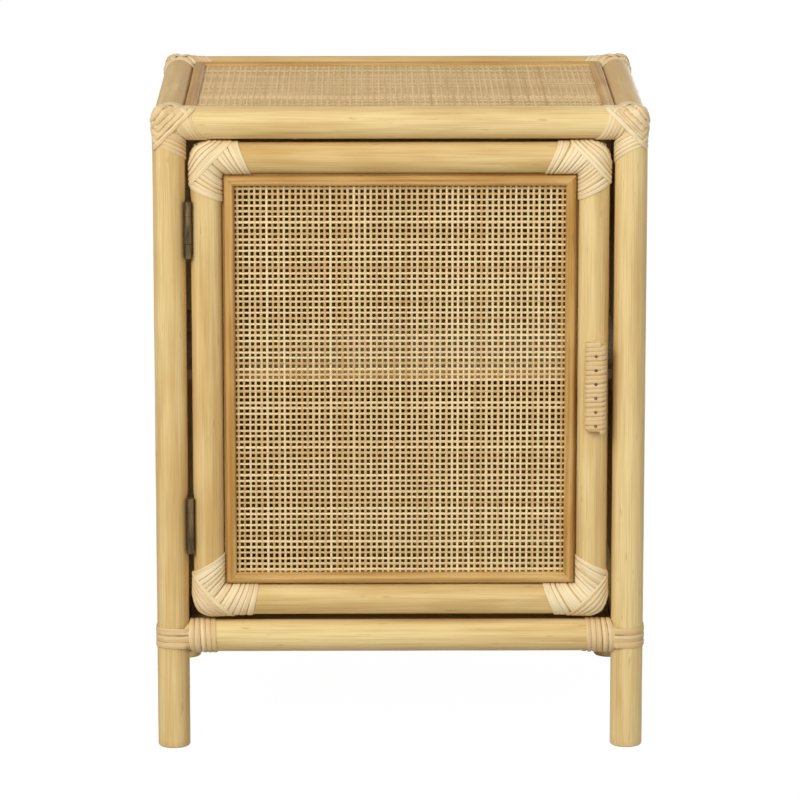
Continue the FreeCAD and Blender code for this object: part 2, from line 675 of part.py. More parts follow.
def build_hinges():
    end = HINGE_L / 2
    joint = end - HINGE_END_KNUCKLE
    frame_spans = [(-end, -joint), (joint, end)]
    door_spans = [(-joint + HINGE_KNUCKLE_GAP, joint - HINGE_KNUCKLE_GAP)]
    heights = (HINGE_UPPER_Z, HINGE_LOWER_Z)
    save("hinge_frame_leaves", [hinge_leaf(-1, z, frame_spans) for z in heights])
    save("hinge_door_leaves", [hinge_leaf(1, z, door_spans) for z in heights])
    pins = []
    for z in heights:
        foot = Vector(HINGE_PIN_X, HINGE_PIN_Y, z - end - HINGE_PIN_CAP)
        shank = cylinder(foot, Z_AXIS, HINGE_PIN_D / 2, HINGE_L + 2 * HINGE_PIN_CAP)
        caps = [cylinder(foot, Z_AXIS, KNUCKLE_R, HINGE_PIN_CAP)]
        caps.append(cylinder(foot + (HINGE_L + HINGE_PIN_CAP) * Z_AXIS, Z_AXIS, KNUCKLE_R, HINGE_PIN_CAP))
        pins.append(fused([shank] + caps))
    save("hinge_pins", pins)


# Door frame: four poles bent at their ends and mitred in the middle of each bend
BEND_CENTRE = Vector(-STILE_X + DOOR_BEND_R, DOOR_Y, DOOR_TOP_Z - DOOR_BEND_R)
MITRE_POINT = BEND_CENTRE + Vector(-DIAGONAL, 0, DIAGONAL) * DOOR_BEND_R


def mirrored_door_z(shape):
    return shape.mirror(Vector(0, 0, DOOR_MID_Z), Z_AXIS)


def bend(radius, start_angle, sweep, outer_half=False):
    # part of the top left bend, from start_angle above the stile's end
    middle = Vector(-STILE_X, DOOR_Y, BEND_CENTRE.z)
    section = Part.Face(Part.Wire(Part.Circle(middle, Z_AXIS, radius).toShape()))
    if outer_half:
        corner = Vector(2 * radius, radius, radius)
        section = section.common(box(middle - corner, middle + Vector(0, radius, radius)))
    arc = section.revolve(BEND_CENTRE, Y_AXIS, sweep)
    arc.rotate(BEND_CENTRE, Y_AXIS, start_angle)
    return arc


def corner_dowel(clear):
    half = DOOR_DOWEL_L / 2 + clear
    along = Vector(DIAGONAL, 0, DIAGONAL)
    return cylinder(MITRE_POINT - half * along, along, DOOR_DOWEL_D / 2 + clear, 2 * half)


def build_door_frame():
    hole = corner_dowel(FIT_CLEAR)
    half_bend = bend(DOOR_R, 0, 45)
    upright = cylinder(Vector(-STILE_X, DOOR_Y, DOOR_MID_Z), Z_AXIS, DOOR_R, BEND_CENTRE.z - DOOR_MID_Z)
    half_stile = fused([upright, half_bend]).cut(hole)
    stile = fused([half_stile, mirrored_door_z(half_stile)])
    other_bend = bend(DOOR_R, 45, 45)
    level = cylinder(Vector(BEND_CENTRE.x, DOOR_Y, DOOR_TOP_Z), X_AXIS, DOOR_R, -BEND_CENTRE.x)
    half_rail = fused([level, other_bend]).cut(hole)
    rail = fused([half_rail, mirrored_x(half_rail)])
    leaf_cuts = hinge_flats(STILE_FACE_X, 1) + hinge_screws(1, HINGE_SCREW_D / 2 + FIT_CLEAR)
    save("door_hinge_stile", stile.cut(leaf_cuts))
    save("door_handle_stile", mirrored_x(stile).cut(handle_cuts() + strike_cuts()))
    save("door_top_rail", rail)
    save("door_bottom_rail", mirrored_door_z(rail))
    dowel = corner_dowel(0)
    left = [dowel, mirrored_door_z(dowel)]
    save("door_dowels", left + [mirrored_x(d) for d in left])


def door_corner(radius, outer_half):
    run = 2 * DOOR_POLE_D
    stile = cylinder(BEND_CENTRE - Vector(DOOR_BEND_R, 0, run), Z_AXIS, radius, run)
    rail = cylinder(BEND_CENTRE + Vector(0, 0, DOOR_BEND_R), X_AXIS, radius, run)
    return fused([stile, bend(radius, 0, 90, outer_half), rail])


def door_skin(layer):
    # the second layer lies only on the outside of the bend
    near = DOOR_R + STRIP_CLEAR + layer * (STRIP_T + STRIP_CLEAR)
    outer_half = layer > 0
    return door_corner(near + STRIP_T, outer_half).cut(door_corner(near, outer_half))


def fan_binding():
    # turns that spread from the inner corner to the outer one, about a centre inside the frame
    reach = 4 * DOOR_POLE_D
    inner_corner = MITRE_POINT + Vector(DIAGONAL, 0, -DIAGONAL) * DOOR_R
    centre = inner_corner + Vector(FAN_REACH, 0, -FAN_REACH)
    near = inner_corner.distanceToPoint(centre)
    far = near + 2 * DOOR_R
    step = 2 * FAN_HALF_ANGLE / FAN_TURNS
    low_angle = 45 - FAN_HALF_ANGLE

    def ray(turn, distance):
        angle = math.radians(low_angle + turn * step)
        return centre + Vector(-math.cos(angle), 0, math.sin(angle)) * distance

    wedge = [centre, ray(0, reach), ray(FAN_TURNS / 2, 2 * reach), ray(FAN_TURNS, reach), centre]
    sector = Part.Face(Part.makePolygon(wedge)).extrude(reach * Y_AXIS)
    skin = door_skin(0).common(moved(sector, Vector(0, -reach / 2, 0)))
    plates = []
    planes = []
    for turn in range(FAN_TURNS + 1):
        for inner, toward in ((turn, -1), (turn + 1, 1)):
            outer_point = ray(turn, far)
            along = (outer_point - ray(inner, near)).normalize()
            plate, plane = slit(outer_point, along, toward * Y_AXIS, reach)
            plates.append(plate)
            planes.append(plane)
    wound = max(skin.cut(plates).Solids, key=lambda solid: solid.Volume)
    print_skin_gap("door fan binding", wound, planes[2:-2])
    return wound


def crossing_binding():
    # turns laid across the outer corner, over the fan
    reach = 4 * DOOR_POLE_D
    out = Vector(-DIAGONAL, 0, DIAGONAL)
    up = Vector(DIAGONAL, 0, DIAGONAL)
    keep = Part.makeBox(2 * reach, 2 * reach, reach, Vector(-reach, -reach, 0))
    turn = FreeCAD.Rotation(up, out.cross(up), out, "XYZ")
    keep.Placement = FreeCAD.Placement(BEND_CENTRE + CROSS_EDGE * out, turn)
    skin = door_skin(1).common(keep)
    lean = CROSS_STEP / 4 / DOOR_R
    plates = []
    planes = []
    for turn in range(CROSS_TURNS):
        foot = CROSS_EDGE + CROSS_STEP * (turn + 1)
        for half, sign in ((-0.25, 1), (0.25, -1)):
            base = BEND_CENTRE + (foot + half * CROSS_STEP) * out
            along = (up + sign * lean * out).normalize()
            plate, plane = slit(base, along, sign * Y_AXIS, reach)
            plates.append(plate)
            planes.append(plane)
    wound = skin.cut(plates)
    print_skin_gap("door crossing binding", wound, planes)
    return wound.Solids


def build_door_bindings():
    upper_left = [fan_binding()] + crossing_binding()
    lower_left = [mirrored_door_z(p) for p in upper_left]
    save("door_upper_left_binding", upper_left)
    save("door_lower_left_binding", lower_left)
    save("door_upper_right_binding", [mirrored_x(p) for p in upper_left])
    save("door_lower_right_binding", [mirrored_x(p) for p in lower_left])


# Open cane in the door, held between two trims
def build_door_panel():
    front_face = Vector(0, DOOR_Y - NET_FORWARD, DOOR_MID_Z)
    rear_face = front_face + Vector(0, NET_T, 0)
    front_trim = trim_frame(DOOR_TRIM_X, DOOR_TRIM_HALF_Z, DOOR_TRIM_FRONT_T)
    rear_trim = trim_frame(DOOR_TRIM_X, DOOR_TRIM_HALF_Z, DOOR_TRIM_REAR_T)
    save("door_front_trim", stood(front_trim, front_face, -1 * Y_AXIS))
    save("door_rear_trim", stood(rear_trim, rear_face, Y_AXIS))
    open_u = DOOR_TRIM_X - TRIM_W
    open_v = DOOR_TRIM_HALF_Z - TRIM_W
    gap_u = (2 * open_u + NET_STRAND_W) / NET_COLUMNS - NET_STRAND_W
    gap_v = (2 * open_v + NET_STRAND_W) / NET_ROWS - NET_STRAND_W

    def outline(u0, v0, u1, v1):
        corners = [Vector(u0, v0, 0), Vector(u1, v0, 0), Vector(u1, v1, 0), Vector(u0, v1, 0)]
        return Part.makePolygon(corners + corners[:1])

    wires = [outline(-open_u - NET_LAP, -open_v - NET_LAP, open_u + NET_LAP, open_v + NET_LAP)]
    for column in range(NET_COLUMNS):
        u = -open_u + column * (gap_u + NET_STRAND_W)
        for row in range(NET_ROWS):
            v = -open_v + row * (gap_v + NET_STRAND_W)
            wires.append(outline(u, v, u + gap_u, v + gap_v))
    net = Part.Face(wires, "Part::FaceMakerBullseye").extrude(NET_T * Z_AXIS)
    save("door_cane", stood([net], rear_face, -1 * Y_AXIS))


# Handle: a flat oval core wound with strip and nailed to a flat planed on the stile
HANDLE_X = STILE_X + HANDLE_OFFSET
HANDLE_PITCH = HANDLE_WRAP_W + STRIP_GAP
HANDLE_TURNS = HANDLE_TURNS_PER_TACK * HANDLE_TACKS
TACK_PITCH = HANDLE_TURNS_PER_TACK * HANDLE_PITCH
HANDLE_END_R = HANDLE_CORE_T / 2
HANDLE_SEAT_Y = DOOR_Y - DOOR_R + HANDLE_FLAT
HANDLE_Y = HANDLE_SEAT_Y - HANDLE_END_R - STRIP_CLEAR - STRIP_T - STRIP_CLEAR
HANDLE_FRONT_Y = HANDLE_Y - HANDLE_END_R - STRIP_CLEAR - STRIP_T
HANDLE_L = HANDLE_TURNS * HANDLE_PITCH + HANDLE_WRAP_W
HANDLE_FIRST_RUN_Z = HANDLE_Z - HANDLE_L / 2 + HANDLE_WRAP_W / 2


def oval_path(radius, straight, pitch, turns):
    # level along the two flat sides and climbing half a pitch round each end
    edges = []
    for turn in range(turns):
        z = turn * pitch
        for side, rise in ((1, 0), (-1, pitch / 2)):
            start = Vector(-side * straight, -side * radius, z + rise)
            corner = Vector(side * straight, -side * radius, z + rise)
            end_mid = Vector(side * (straight + radius), 0, z + rise + pitch / 4)
            end = Vector(side * straight, side * radius, z + rise + pitch / 2)
            edges.append(Part.LineSegment(start, corner).toShape())
            edges.append(Part.Arc(corner, end_mid, end).toShape())
    return Part.Wire(edges)


def tack_spots(y):
    # each tack goes through the middle of a turn's front run
    lowest = HANDLE_FIRST_RUN_Z + (HANDLE_TURNS_PER_TACK - 1) // 2 * HANDLE_PITCH
    return [Vector(HANDLE_X, y, lowest + i * TACK_PITCH) for i in range(HANDLE_TACKS)]


def tack_holes():
    radius = TACK_D / 2 + FIT_CLEAR
    return [cylinder(spot, Y_AXIS, radius, TACK_L + FIT_CLEAR) for spot in tack_spots(HANDLE_FRONT_Y)]


def handle_cuts():
    half = Vector(DOOR_POLE_D, 0, HANDLE_L / 2 + SEAT_CLEAR)
    centre = Vector(STILE_X, HANDLE_SEAT_Y, HANDLE_Z)
    flat = box(centre - half - Vector(0, DOOR_POLE_D, 0), centre + half)
    return [flat] + tack_holes()


def build_handle():
    straight = HANDLE_CORE_W / 2 - HANDLE_END_R
    near = HANDLE_END_R + STRIP_CLEAR
    far = near + STRIP_T
    path = oval_path((near + far) / 2, straight, HANDLE_PITCH, HANDLE_TURNS)
    print_least_gap("handle binding", path, HANDLE_TURNS, HANDLE_WRAP_W)
    corners = [Vector(-straight, -near, -HANDLE_WRAP_W / 2), Vector(-straight, -far, -HANDLE_WRAP_W / 2)]
    corners += [Vector(-straight, -far, HANDLE_WRAP_W / 2), Vector(-straight, -near, HANDLE_WRAP_W / 2)]
    wrap = swept_strip(path, Part.makePolygon(corners + corners[:1]))
    wrap = moved(wrap, Vector(HANDLE_X, HANDLE_Y, HANDLE_FIRST_RUN_Z))
    core_low = Vector(HANDLE_X, HANDLE_Y, HANDLE_Z - HANDLE_L / 2)
    half = Vector(straight, HANDLE_END_R, 0)
    parts = [box(core_low - half, core_low + half + Vector(0, 0, HANDLE_L))]
    for side in (-1, 1):
        end = core_low + Vector(side * straight, 0, 0)
        parts.append(cylinder(end, Z_AXIS, HANDLE_END_R, HANDLE_L))
    holes = tack_holes()
    save("handle_core", fused(parts).cut(holes))
    save("handle_binding", wrap.cut(holes))
    tack = screw(TACK_D, TACK_L, TACK_HEAD_D, TACK_HEAD_T)
    save("handle_tacks", [aimed(tack, spot, Y_AXIS) for spot in tack_spots(HANDLE_FRONT_Y)])


# Strike plate on the back of the handle stile
STRIKE_Y = DOOR_Y + DOOR_R - STRIKE_FLAT


def strike_screw_spots():
    y = STRIKE_Y + STRIKE_T
    return [Vector(STILE_X, y, CATCH_MID_Z + s * STRIKE_SCREW_PITCH / 2) for s in (-1, 1)]


def strike_holes():
    radius = STRIKE_SCREW_D / 2 + FIT_CLEAR
    return [cylinder(s, -1 * Y_AXIS, radius, STRIKE_SCREW_L + FIT_CLEAR) for s in strike_screw_spots()]


def strike_cuts():
    half = Vector(DOOR_POLE_D, 0, STRIKE_L / 2 + FIT_CLEAR)
    seat = Vector(STILE_X, STRIKE_Y, CATCH_MID_Z)
    return [box(seat - half, seat + half + Vector(0, DOOR_POLE_D, 0))] + strike_holes()


def build_strike():
    half = Vector(STRIKE_W / 2, 0, STRIKE_L / 2)
    seat = Vector(STILE_X, STRIKE_Y, CATCH_MID_Z)
    save("strike_plate", box(seat - half, seat + half + Vector(0, STRIKE_T, 0)).cut(strike_holes()))
    one = screw(STRIKE_SCREW_D, STRIKE_SCREW_L, STRIKE_SCREW_HEAD_D, STRIKE_SCREW_HEAD_T)
    strike_screws = [aimed(one, spot, -1 * Y_AXIS) for spot in strike_screw_spots()]
    save("door_screws", strike_screws + hinge_screws(1))


os.makedirs("parts", exist_ok=True)
build_frame()
build_bindings()
build_top()
build_walls()
build_bottom()
build_shelf()
build_catch()
build_hinges()
build_door_frame()
build_door_bindings()
build_door_panel()
build_handle()
build_strike()
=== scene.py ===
# %% [markdown]
# # A storage side table with a door
# The table is a frame of rattan poles. Its joints are bound with strips of cane, its top, sides
# and back are boards covered with close-woven cane, and its door holds an open cane net. The CAD
# model already fixes every size, so this lesson loads it and dresses it: most pieces are modelled
# again with more detail.

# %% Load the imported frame
import math
import random

import bmesh
import bpy
from mathutils import Matrix, Vector, noise


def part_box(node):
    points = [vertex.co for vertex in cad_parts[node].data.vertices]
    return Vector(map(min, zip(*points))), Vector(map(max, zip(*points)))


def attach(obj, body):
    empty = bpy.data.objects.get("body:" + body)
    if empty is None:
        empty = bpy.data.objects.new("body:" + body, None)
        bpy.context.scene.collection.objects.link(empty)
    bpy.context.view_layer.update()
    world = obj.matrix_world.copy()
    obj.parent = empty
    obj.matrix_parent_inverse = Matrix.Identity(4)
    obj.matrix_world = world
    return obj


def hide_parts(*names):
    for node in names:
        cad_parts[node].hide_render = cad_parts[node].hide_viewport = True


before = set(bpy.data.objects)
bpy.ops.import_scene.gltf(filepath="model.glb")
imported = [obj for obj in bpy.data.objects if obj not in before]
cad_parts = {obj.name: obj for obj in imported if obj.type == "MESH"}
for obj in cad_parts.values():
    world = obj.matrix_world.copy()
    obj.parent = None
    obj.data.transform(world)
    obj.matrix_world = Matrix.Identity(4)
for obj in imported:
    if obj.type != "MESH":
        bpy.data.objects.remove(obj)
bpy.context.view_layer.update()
draw = random.Random(11)
print("loaded", len(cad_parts), "nodes")

# %% [markdown]
# ## The camera
# The photograph looks at the door from the front and a little above, through a long lens, so
# upright poles stay upright. A camera far away with a narrow view gives that flat look.

# %% Camera
CAMERA_PLACE = (-0.0344, -4.526, 1.2667)
CAMERA_PITCH = math.radians(12.14)  # down from level
CAMERA_YAW = math.radians(0.45)  # to the right
LENS_MM = 219.1

camera = bpy.data.objects.new("camera", bpy.data.cameras.new("camera"))
camera.data.lens = LENS_MM
camera.data.clip_end = 100
camera.location = CAMERA_PLACE
camera.rotation_euler = (math.pi / 2 - CAMERA_PITCH, 0, -CAMERA_YAW)
scene = bpy.context.scene
scene.collection.objects.link(camera)
scene.camera = camera
scene.view_settings.view_transform = "Standard"
print("camera at", CAMERA_PLACE)

# %% [markdown]
# ## Shader sums in Python
# A finish is a tree of nodes. Writing `1 - mask` is easier to read than naming a Math node and its
# links, so `Value` wraps a socket and turns Python's operators into Math nodes. `NodeTree.node`
# makes any other node: its type, then its settings, then what goes into its sockets.

# %% Values and node trees
class Value:
    def __init__(self, tree, socket):
        self.tree = tree
        self.socket = socket

    def __add__(self, other):
        return self.tree.math("ADD", self, other)

    def __sub__(self, other):
        return self.tree.math("SUBTRACT", self, other)

    def __rsub__(self, other):
        return self.tree.math("SUBTRACT", other, self)

    def __mul__(self, other):
        return self.tree.math("MULTIPLY", self, other)

    __radd__ = __add__
    __rmul__ = __mul__

    def within(self, low, high):
        """0 below low, 1 above high, and smooth between them."""
        sockets = {"Value": self, "From Min": low, "From Max": high}
        return self.tree.node("ShaderNodeMapRange", {"interpolation_type": "SMOOTHSTEP"}, sockets)


class NodeTree:
    def __init__(self, tree):
        self.tree = tree
        tree.nodes.clear()

    def node(self, kind, settings=None, sockets=None, output=0):
        made = self.tree.nodes.new(kind)
        for name, value in (settings or {}).items():
            setattr(made, name, value)
        for key, value in (sockets or {}).items():
            if isinstance(value, Value):
                self.tree.links.new(value.socket, made.inputs[key])
            else:
                made.inputs[key].default_value = value
        return Value(self, made.outputs[output]) if made.outputs else made

    def math(self, operation, first, second):
        return self.node("ShaderNodeMath", {"operation": operation}, {0: first, 1: second})

    def mix(self, share, first, second):
        """Goes from the first colour to the second. A colour is a Value or three numbers."""
        first, second = (c if isinstance(c, Value) else (*c, 1) for c in (first, second))
        sockets = {0: share, 6: first, 7: second}
        return self.node("ShaderNodeMix", {"data_type": "RGBA"}, sockets, output=2)

    def noise(self, vector, scale, detail=2.0):
        scaled = self.node("ShaderNodeVectorMath", {"operation": "MULTIPLY"}, {0: vector, 1: scale})
        sockets = {"Vector": scaled, "Scale": 1.0, "Detail": detail}
        return self.node("ShaderNodeTexNoise", None, sockets)


# %% [markdown]
# ## White studio
# The photograph has a plain white ground. The world shows white to the camera and to reflections,
# and gives the object a softer grey light. The floor is a white sheet that is mostly shown as
# white, with a share of its real light left in, so that the table's soft shadow stays.

# %% World and floor
WHITE = (1, 1, 1, 1)
SKY_LIGHT = 0.42
FLOOR_GREY = (0.5, 0.5, 0.5, 1)
FLOOR_GLOW = 1.06
FLOOR_WHITE_SHARE = 0.93
FLOOR_HALF = 14.0


def seen_directly(tree):
    """1 for rays from the camera, or by way of a mirror or glass."""
    rays = [tree.node("ShaderNodeLightPath", output=name)
            for name in ("Is Camera Ray", "Is Glossy Ray", "Is Transmission Ray")]
    return tree.math("MAXIMUM", rays[0], tree.math("MAXIMUM", rays[1], rays[2]))


scene.world = bpy.data.worlds.new("studio")
scene.world.use_nodes = True
sky = NodeTree(scene.world.node_tree)
soft = sky.node("ShaderNodeBackground", None, {"Color": WHITE, "Strength": SKY_LIGHT})
white = sky.node("ShaderNodeBackground", None, {"Color": WHITE, "Strength": 1.0})
shown = sky.node("ShaderNodeMixShader", None, {0: seen_directly(sky), 1: soft, 2: white})
sky.node("ShaderNodeOutputWorld", None, {"Surface": shown})

floor_paint = bpy.data.materials.new("floor_white")
floor_paint.use_nodes = True
tree = NodeTree(floor_paint.node_tree)
lit = tree.node("ShaderNodeBsdfDiffuse", None, {"Color": FLOOR_GREY})
glow = tree.node("ShaderNodeEmission", None, {"Color": WHITE, "Strength": FLOOR_GLOW})
glow_share = FLOOR_WHITE_SHARE * seen_directly(tree)
ground = tree.node("ShaderNodeMixShader", None, {0: glow_share, 1: lit, 2: glow})
tree.node("ShaderNodeOutputMaterial", None, {"Surface": ground})

sheet = bmesh.new()
bmesh.ops.create_grid(sheet, x_segments=1, y_segments=1, size=FLOOR_HALF)
floor = bpy.data.objects.new("floor", bpy.data.meshes.new("floor"))
sheet.to_mesh(floor.data)
sheet.free()
floor.data.materials.append(floor_paint)
scene.collection.objects.link(floor)
print("floor", 2 * FLOOR_HALF, "m wide")

# %% [markdown]
# ## Soft lamps
# The light in the photograph comes from the front and the upper left: left faces are bright, the
# poles' right sides and the top are a little darker. A large key lamp and a weak fill do that
# without hard edges. A low lamp behind keeps the back from going dark in other views.

# %% Lamps
LAMPS = (  # name, place, size and power
    ("key_lamp", (-1.8, -3.4, 2.6), 2.2, 134.0),
    ("fill_lamp", (2.4, -3.4, 1.6), 2.4, 28.0),
    ("back_lamp", (1.8, 3.4, 0.9), 1.4, 30.0),
)
AIM = Vector((0, 0, 0.3))

for lamp_name, place, size, power in LAMPS:
    lamp = bpy.data.objects.new(lamp_name, bpy.data.lights.new(lamp_name, "AREA"))
    lamp.data.size = size
    lamp.data.energy = power
    lamp.location = place
    lamp.rotation_euler = (AIM - lamp.location).to_track_quat("-Z", "Y").to_euler()
    scene.collection.objects.link(lamp)
print("lamps", [row[0] for row in LAMPS])

# %% [markdown]
# ## Finishes
# Rattan and cane have fibres that run along each pole or strip. Every pole, strip and strand
# carries a `grain` attribute: two numbers across the fibres and one along them, so one finish
# follows poles, bends and windings alike. A `tint` attribute makes each strip a little lighter or
# darker than its neighbours. Boards, tacks and the CAD pieces that stay have finishes that read
# Object coordinates, turned so that z is the grain.

# %% Finish class
GRAIN_TURNS = {"x": (0, math.pi / 2, 0), "y": (math.pi / 2, 0, 0), "z": (0, 0, 0)}


class Finish(NodeTree):
    def __init__(self, name, **constants):
        self.material = bpy.data.materials.new(name)
        self.material.use_nodes = True
        super().__init__(self.material.node_tree)
        self.shader = self.tree.nodes.new("ShaderNodeBsdfPrincipled")
        surface = Value(self, self.shader.outputs["BSDF"])
        self.node("ShaderNodeOutputMaterial", None, {"Surface": surface})
        for socket, number in constants.items():
            self.shader.inputs[socket.replace("_", " ")].default_value = number

    def feed(self, socket, value):
        self.tree.links.new(value.socket, self.shader.inputs[socket])

    def attribute(self, name, output):
        settings = {"attribute_type": "GEOMETRY", "attribute_name": name}
        return self.node("ShaderNodeAttribute", settings, output=output)

    def place(self):
        return self.node("ShaderNodeTexCoord", output="Object")

    def grain(self, source):
        """The piece's own grain, or the place on it, turned so that axis source becomes z."""
        if source == "attribute":
            return self.attribute("grain", "Vector")
        sockets = {"Vector": self.place(), "Rotation": GRAIN_TURNS[source]}
        return self.node("ShaderNodeMapping", None, sockets)

    def bump(self, height, strength, distance):
        sockets = {"Strength": strength, "Distance": distance, "Height": height}
        self.feed("Normal", self.node("ShaderNodeBump", None, sockets))


# %% Rattan and cane
# changes of a pattern per metre: along the grain, or across it twice and along it
STREAK_ALONG, FIBRE_ALONG = 5.0, 16.0
BLOTCHES, FLECKS = (35.0, 35.0, 12.0), (260.0, 260.0, 45.0)
FLECK_EDGE = (0.68, 0.8)  # the noise at which a fleck begins to show and shows fully
PALE_SHARE = 0.55  # before streaks and blotches
DARKER = 0.55  # fibres and flecks, as a share of the deep colour
LIP_COLOUR, LIP_EDGE = (0.66, 0.40, 0.15), 0.0004


def fibre_finish(name, pale, deep, source="attribute", streak=120.0, fibre=900.0,
                 roughness=0.52, coat=0.0, lip=None):
    """Plant fibre: broad streaks between two colours, fine dark fibres, and a few brown flecks.
    lip is the y that a darker front edge ends at."""
    finish = Finish(name, Coat_Weight=coat, Coat_Roughness=0.3, Specular_IOR_Level=0.14)
    grain = finish.grain(source)
    broad = finish.noise(grain, (streak, streak, STREAK_ALONG), detail=3.0)
    fine = finish.noise(grain, (fibre, fibre, FIBRE_ALONG))
    blotch = finish.noise(grain, BLOTCHES)
    fleck = finish.noise(grain, FLECKS, detail=1.0).within(*FLECK_EDGE)
    share = (broad - 0.5) * 1.5 + (blotch - 0.5) * 0.9 + PALE_SHARE
    if source == "attribute":
        share = share + finish.attribute("tint", "Fac")
    dark = [DARKER * part for part in deep]
    colour = finish.mix(share.within(0.0, 1.0), deep, pale)
    colour = finish.mix((0.62 - fine).within(0.0, 0.45) * 0.35, colour, dark)
    colour = finish.mix(fleck * 0.4, colour, dark)
    if lip is not None:
        depth = finish.node("ShaderNodeSeparateXYZ", None, {0: finish.place()}, output="Y")
        colour = finish.mix((lip - depth).within(0.0, LIP_EDGE), colour, LIP_COLOUR)
    finish.feed("Base Color", colour)
    finish.feed("Roughness", (fine - 0.5) * 0.3 + roughness)
    finish.bump(fine * 0.7 + broad * 0.3, 0.35, 0.0003)
    return finish.material


rattan = fibre_finish("rattan_pole", (0.80, 0.61, 0.285), (0.60, 0.38, 0.135))
binding = fibre_finish("binding_strip", (0.92, 0.755, 0.475), (0.70, 0.49, 0.235),
                       streak=420.0, fibre=1700.0)
trim_wood = fibre_finish("trim_strip", (0.74, 0.505, 0.195), (0.425, 0.208, 0.046), streak=300.0)
net_cane = fibre_finish("net_strand", (0.89, 0.69, 0.37), (0.58, 0.37, 0.14), streak=500.0)
sheet_cane = fibre_finish("sheet_strand", (0.79, 0.575, 0.30), (0.52, 0.335, 0.14), streak=500.0)
bearer_rattan = fibre_finish("bearer_rattan", (0.80, 0.60, 0.29), (0.62, 0.40, 0.15), source="y")
print("fibre finishes made")

# %% [markdown]
# ## Boards and metal
# The boards are thin plywood and the shelf is lacquered. The shelf is also painted paler than its
# wood, a painted sheen on its top. The hinges are dark, aged brass that is rubbed bright in places,
# and the screws and the catch are plain steel, plastic and a dull magnet.

# %% Board and metal finishes
SHELF_LIP = 0.003
CLOUDS, SCRATCHES = (260.0, 260.0, 40.0), (1500.0, 1500.0, 90.0)
RUBBED = (0.35, 0.68)  # the noise at which bright metal begins to show and shows fully

plywood_level = fibre_finish("plywood_level", (0.52, 0.35, 0.16), (0.37, 0.225, 0.09),
                             source="x", streak=60.0, fibre=500.0, roughness=0.5)
plywood_upright = fibre_finish("plywood_upright", (0.54, 0.365, 0.185), (0.39, 0.24, 0.105),
                               source="z", streak=60.0, fibre=500.0, roughness=0.55)
# The shelf's pale colour is partly painted sheen: its wood is painted paler, so that its top shows
# the light grey of a lit, lacquered top through the net. The darker lip is its front edge.
shelf_wood = fibre_finish("shelf_wood", (0.76, 0.64, 0.47), (0.62, 0.49, 0.33), source="x",
                          streak=70.0, fibre=600.0, roughness=0.3, coat=0.4,
                          lip=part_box("shelf")[0].y + SHELF_LIP)


def worn_metal(name, bright, dull, metallic, roughness):
    finish = Finish(name, Metallic=metallic)
    place = finish.grain("z")
    cloud = finish.noise(place, CLOUDS, detail=4.0)
    scratch = finish.noise(place, SCRATCHES)
    rubbed = (cloud * 0.7 + scratch * 0.3).within(*RUBBED)
    finish.feed("Base Color", finish.mix(rubbed, dull, bright))
    finish.feed("Roughness", (cloud - 0.5) * 0.3 + roughness)
    finish.bump(scratch, 0.12, 0.0002)
    return finish.material


aged_brass = worn_metal("aged_brass", (0.22, 0.148, 0.068), (0.06, 0.042, 0.022), 0.8, 0.45)
steel = worn_metal("plated_steel", (0.62, 0.60, 0.56), (0.42, 0.40, 0.37), 1.0, 0.32)
tack_metal = worn_metal("tack_metal", (0.22, 0.15, 0.08), (0.07, 0.045, 0.025), 0.8, 0.4)
catch_plastic = worn_metal("catch_plastic", (0.30, 0.19, 0.10), (0.23, 0.145, 0.075), 0.0, 0.45)
magnet_grey = worn_metal("magnet_grey", (0.16, 0.16, 0.165), (0.09, 0.09, 0.095), 0.4, 0.55)
print("board and metal finishes made")

# %% CAD pieces that stay
KEPT_NODES = {
    shelf_wood: ("shelf", "shelf_battens"),
    bearer_rattan: ("board_bearers", "door_dowels"),
    aged_brass: ("hinge_frame_leaves", "hinge_door_leaves", "hinge_pins"),
    steel: ("frame_screws", "cabinet_screws", "door_screws", "strike_plate"),
    catch_plastic: ("catch_body",),
    magnet_grey: ("catch_magnet",),
}
for material, names in KEPT_NODES.items():
    for name in names:
        for material_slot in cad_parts[name].material_slots:
            material_slot.material = material
print("kept CAD nodes", sum(len(names) for names in KEPT_NODES.values()))

# %% [markdown]
# ## From bmesh to piece
# Each new piece is built in a bmesh with the two attributes, then closed, given outward normals and
# smooth faces, and set to ride on its body in place of the CAD nodes that it stands for.

# %% Bmesh helpers
MERGE = 1e-6


def new_bmesh():
    bm = bmesh.new()
    bm.verts.layers.float_vector.new("grain")
    bm.verts.layers.float.new("tint")
    return bm


def everything(bm):
    return bm.verts[:] + bm.edges[:] + bm.faces[:]


def only(geom, kind):
    return [part for part in geom if isinstance(part, kind)]


def merge(bm, distance=MERGE):
    bmesh.ops.remove_doubles(bm, verts=bm.verts, dist=distance)


def fill_holes(bm):
    bmesh.ops.holes_fill(bm, edges=[e for e in bm.edges if e.is_boundary])


def round_edges(bm, edges, size, segments):
    bmesh.ops.bevel(bm, geom=edges, offset=size, affect="EDGES", segments=segments,
                    profile=0.5, material=-1)


def smooth_step(x):
    x = min(max(x, 0.0), 1.0)
    return x * x * (3 - 2 * x)


# %% Piece helpers
SHARP = math.radians(42)
GRAIN_STARTS = 9  # a piece's grain starts up to this far along the pattern, in metres


def finish_piece(bm, name, body, material, slot, nodes=(), shade=0):
    """Closes the bmesh and makes it a piece. shade makes it lighter or darker than its finish."""
    tint = bm.verts.layers.float["tint"]
    for vert in bm.verts:
        vert[tint] += shade
    merge(bm)
    bmesh.ops.recalc_face_normals(bm, faces=bm.faces)
    if bm.calc_volume(signed=True) < 0:
        bmesh.ops.reverse_faces(bm, faces=bm.faces)
    for face in bm.faces:
        face.smooth = True
    mesh = bpy.data.meshes.new(name)
    bm.to_mesh(mesh)
    bm.free()
    mesh.set_sharp_from_angle(angle=SHARP)
    mesh.materials.append(material)
    piece = bpy.data.objects.new(name, mesh)
    scene.collection.objects.link(piece)
    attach(piece, body)
    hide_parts(*nodes)


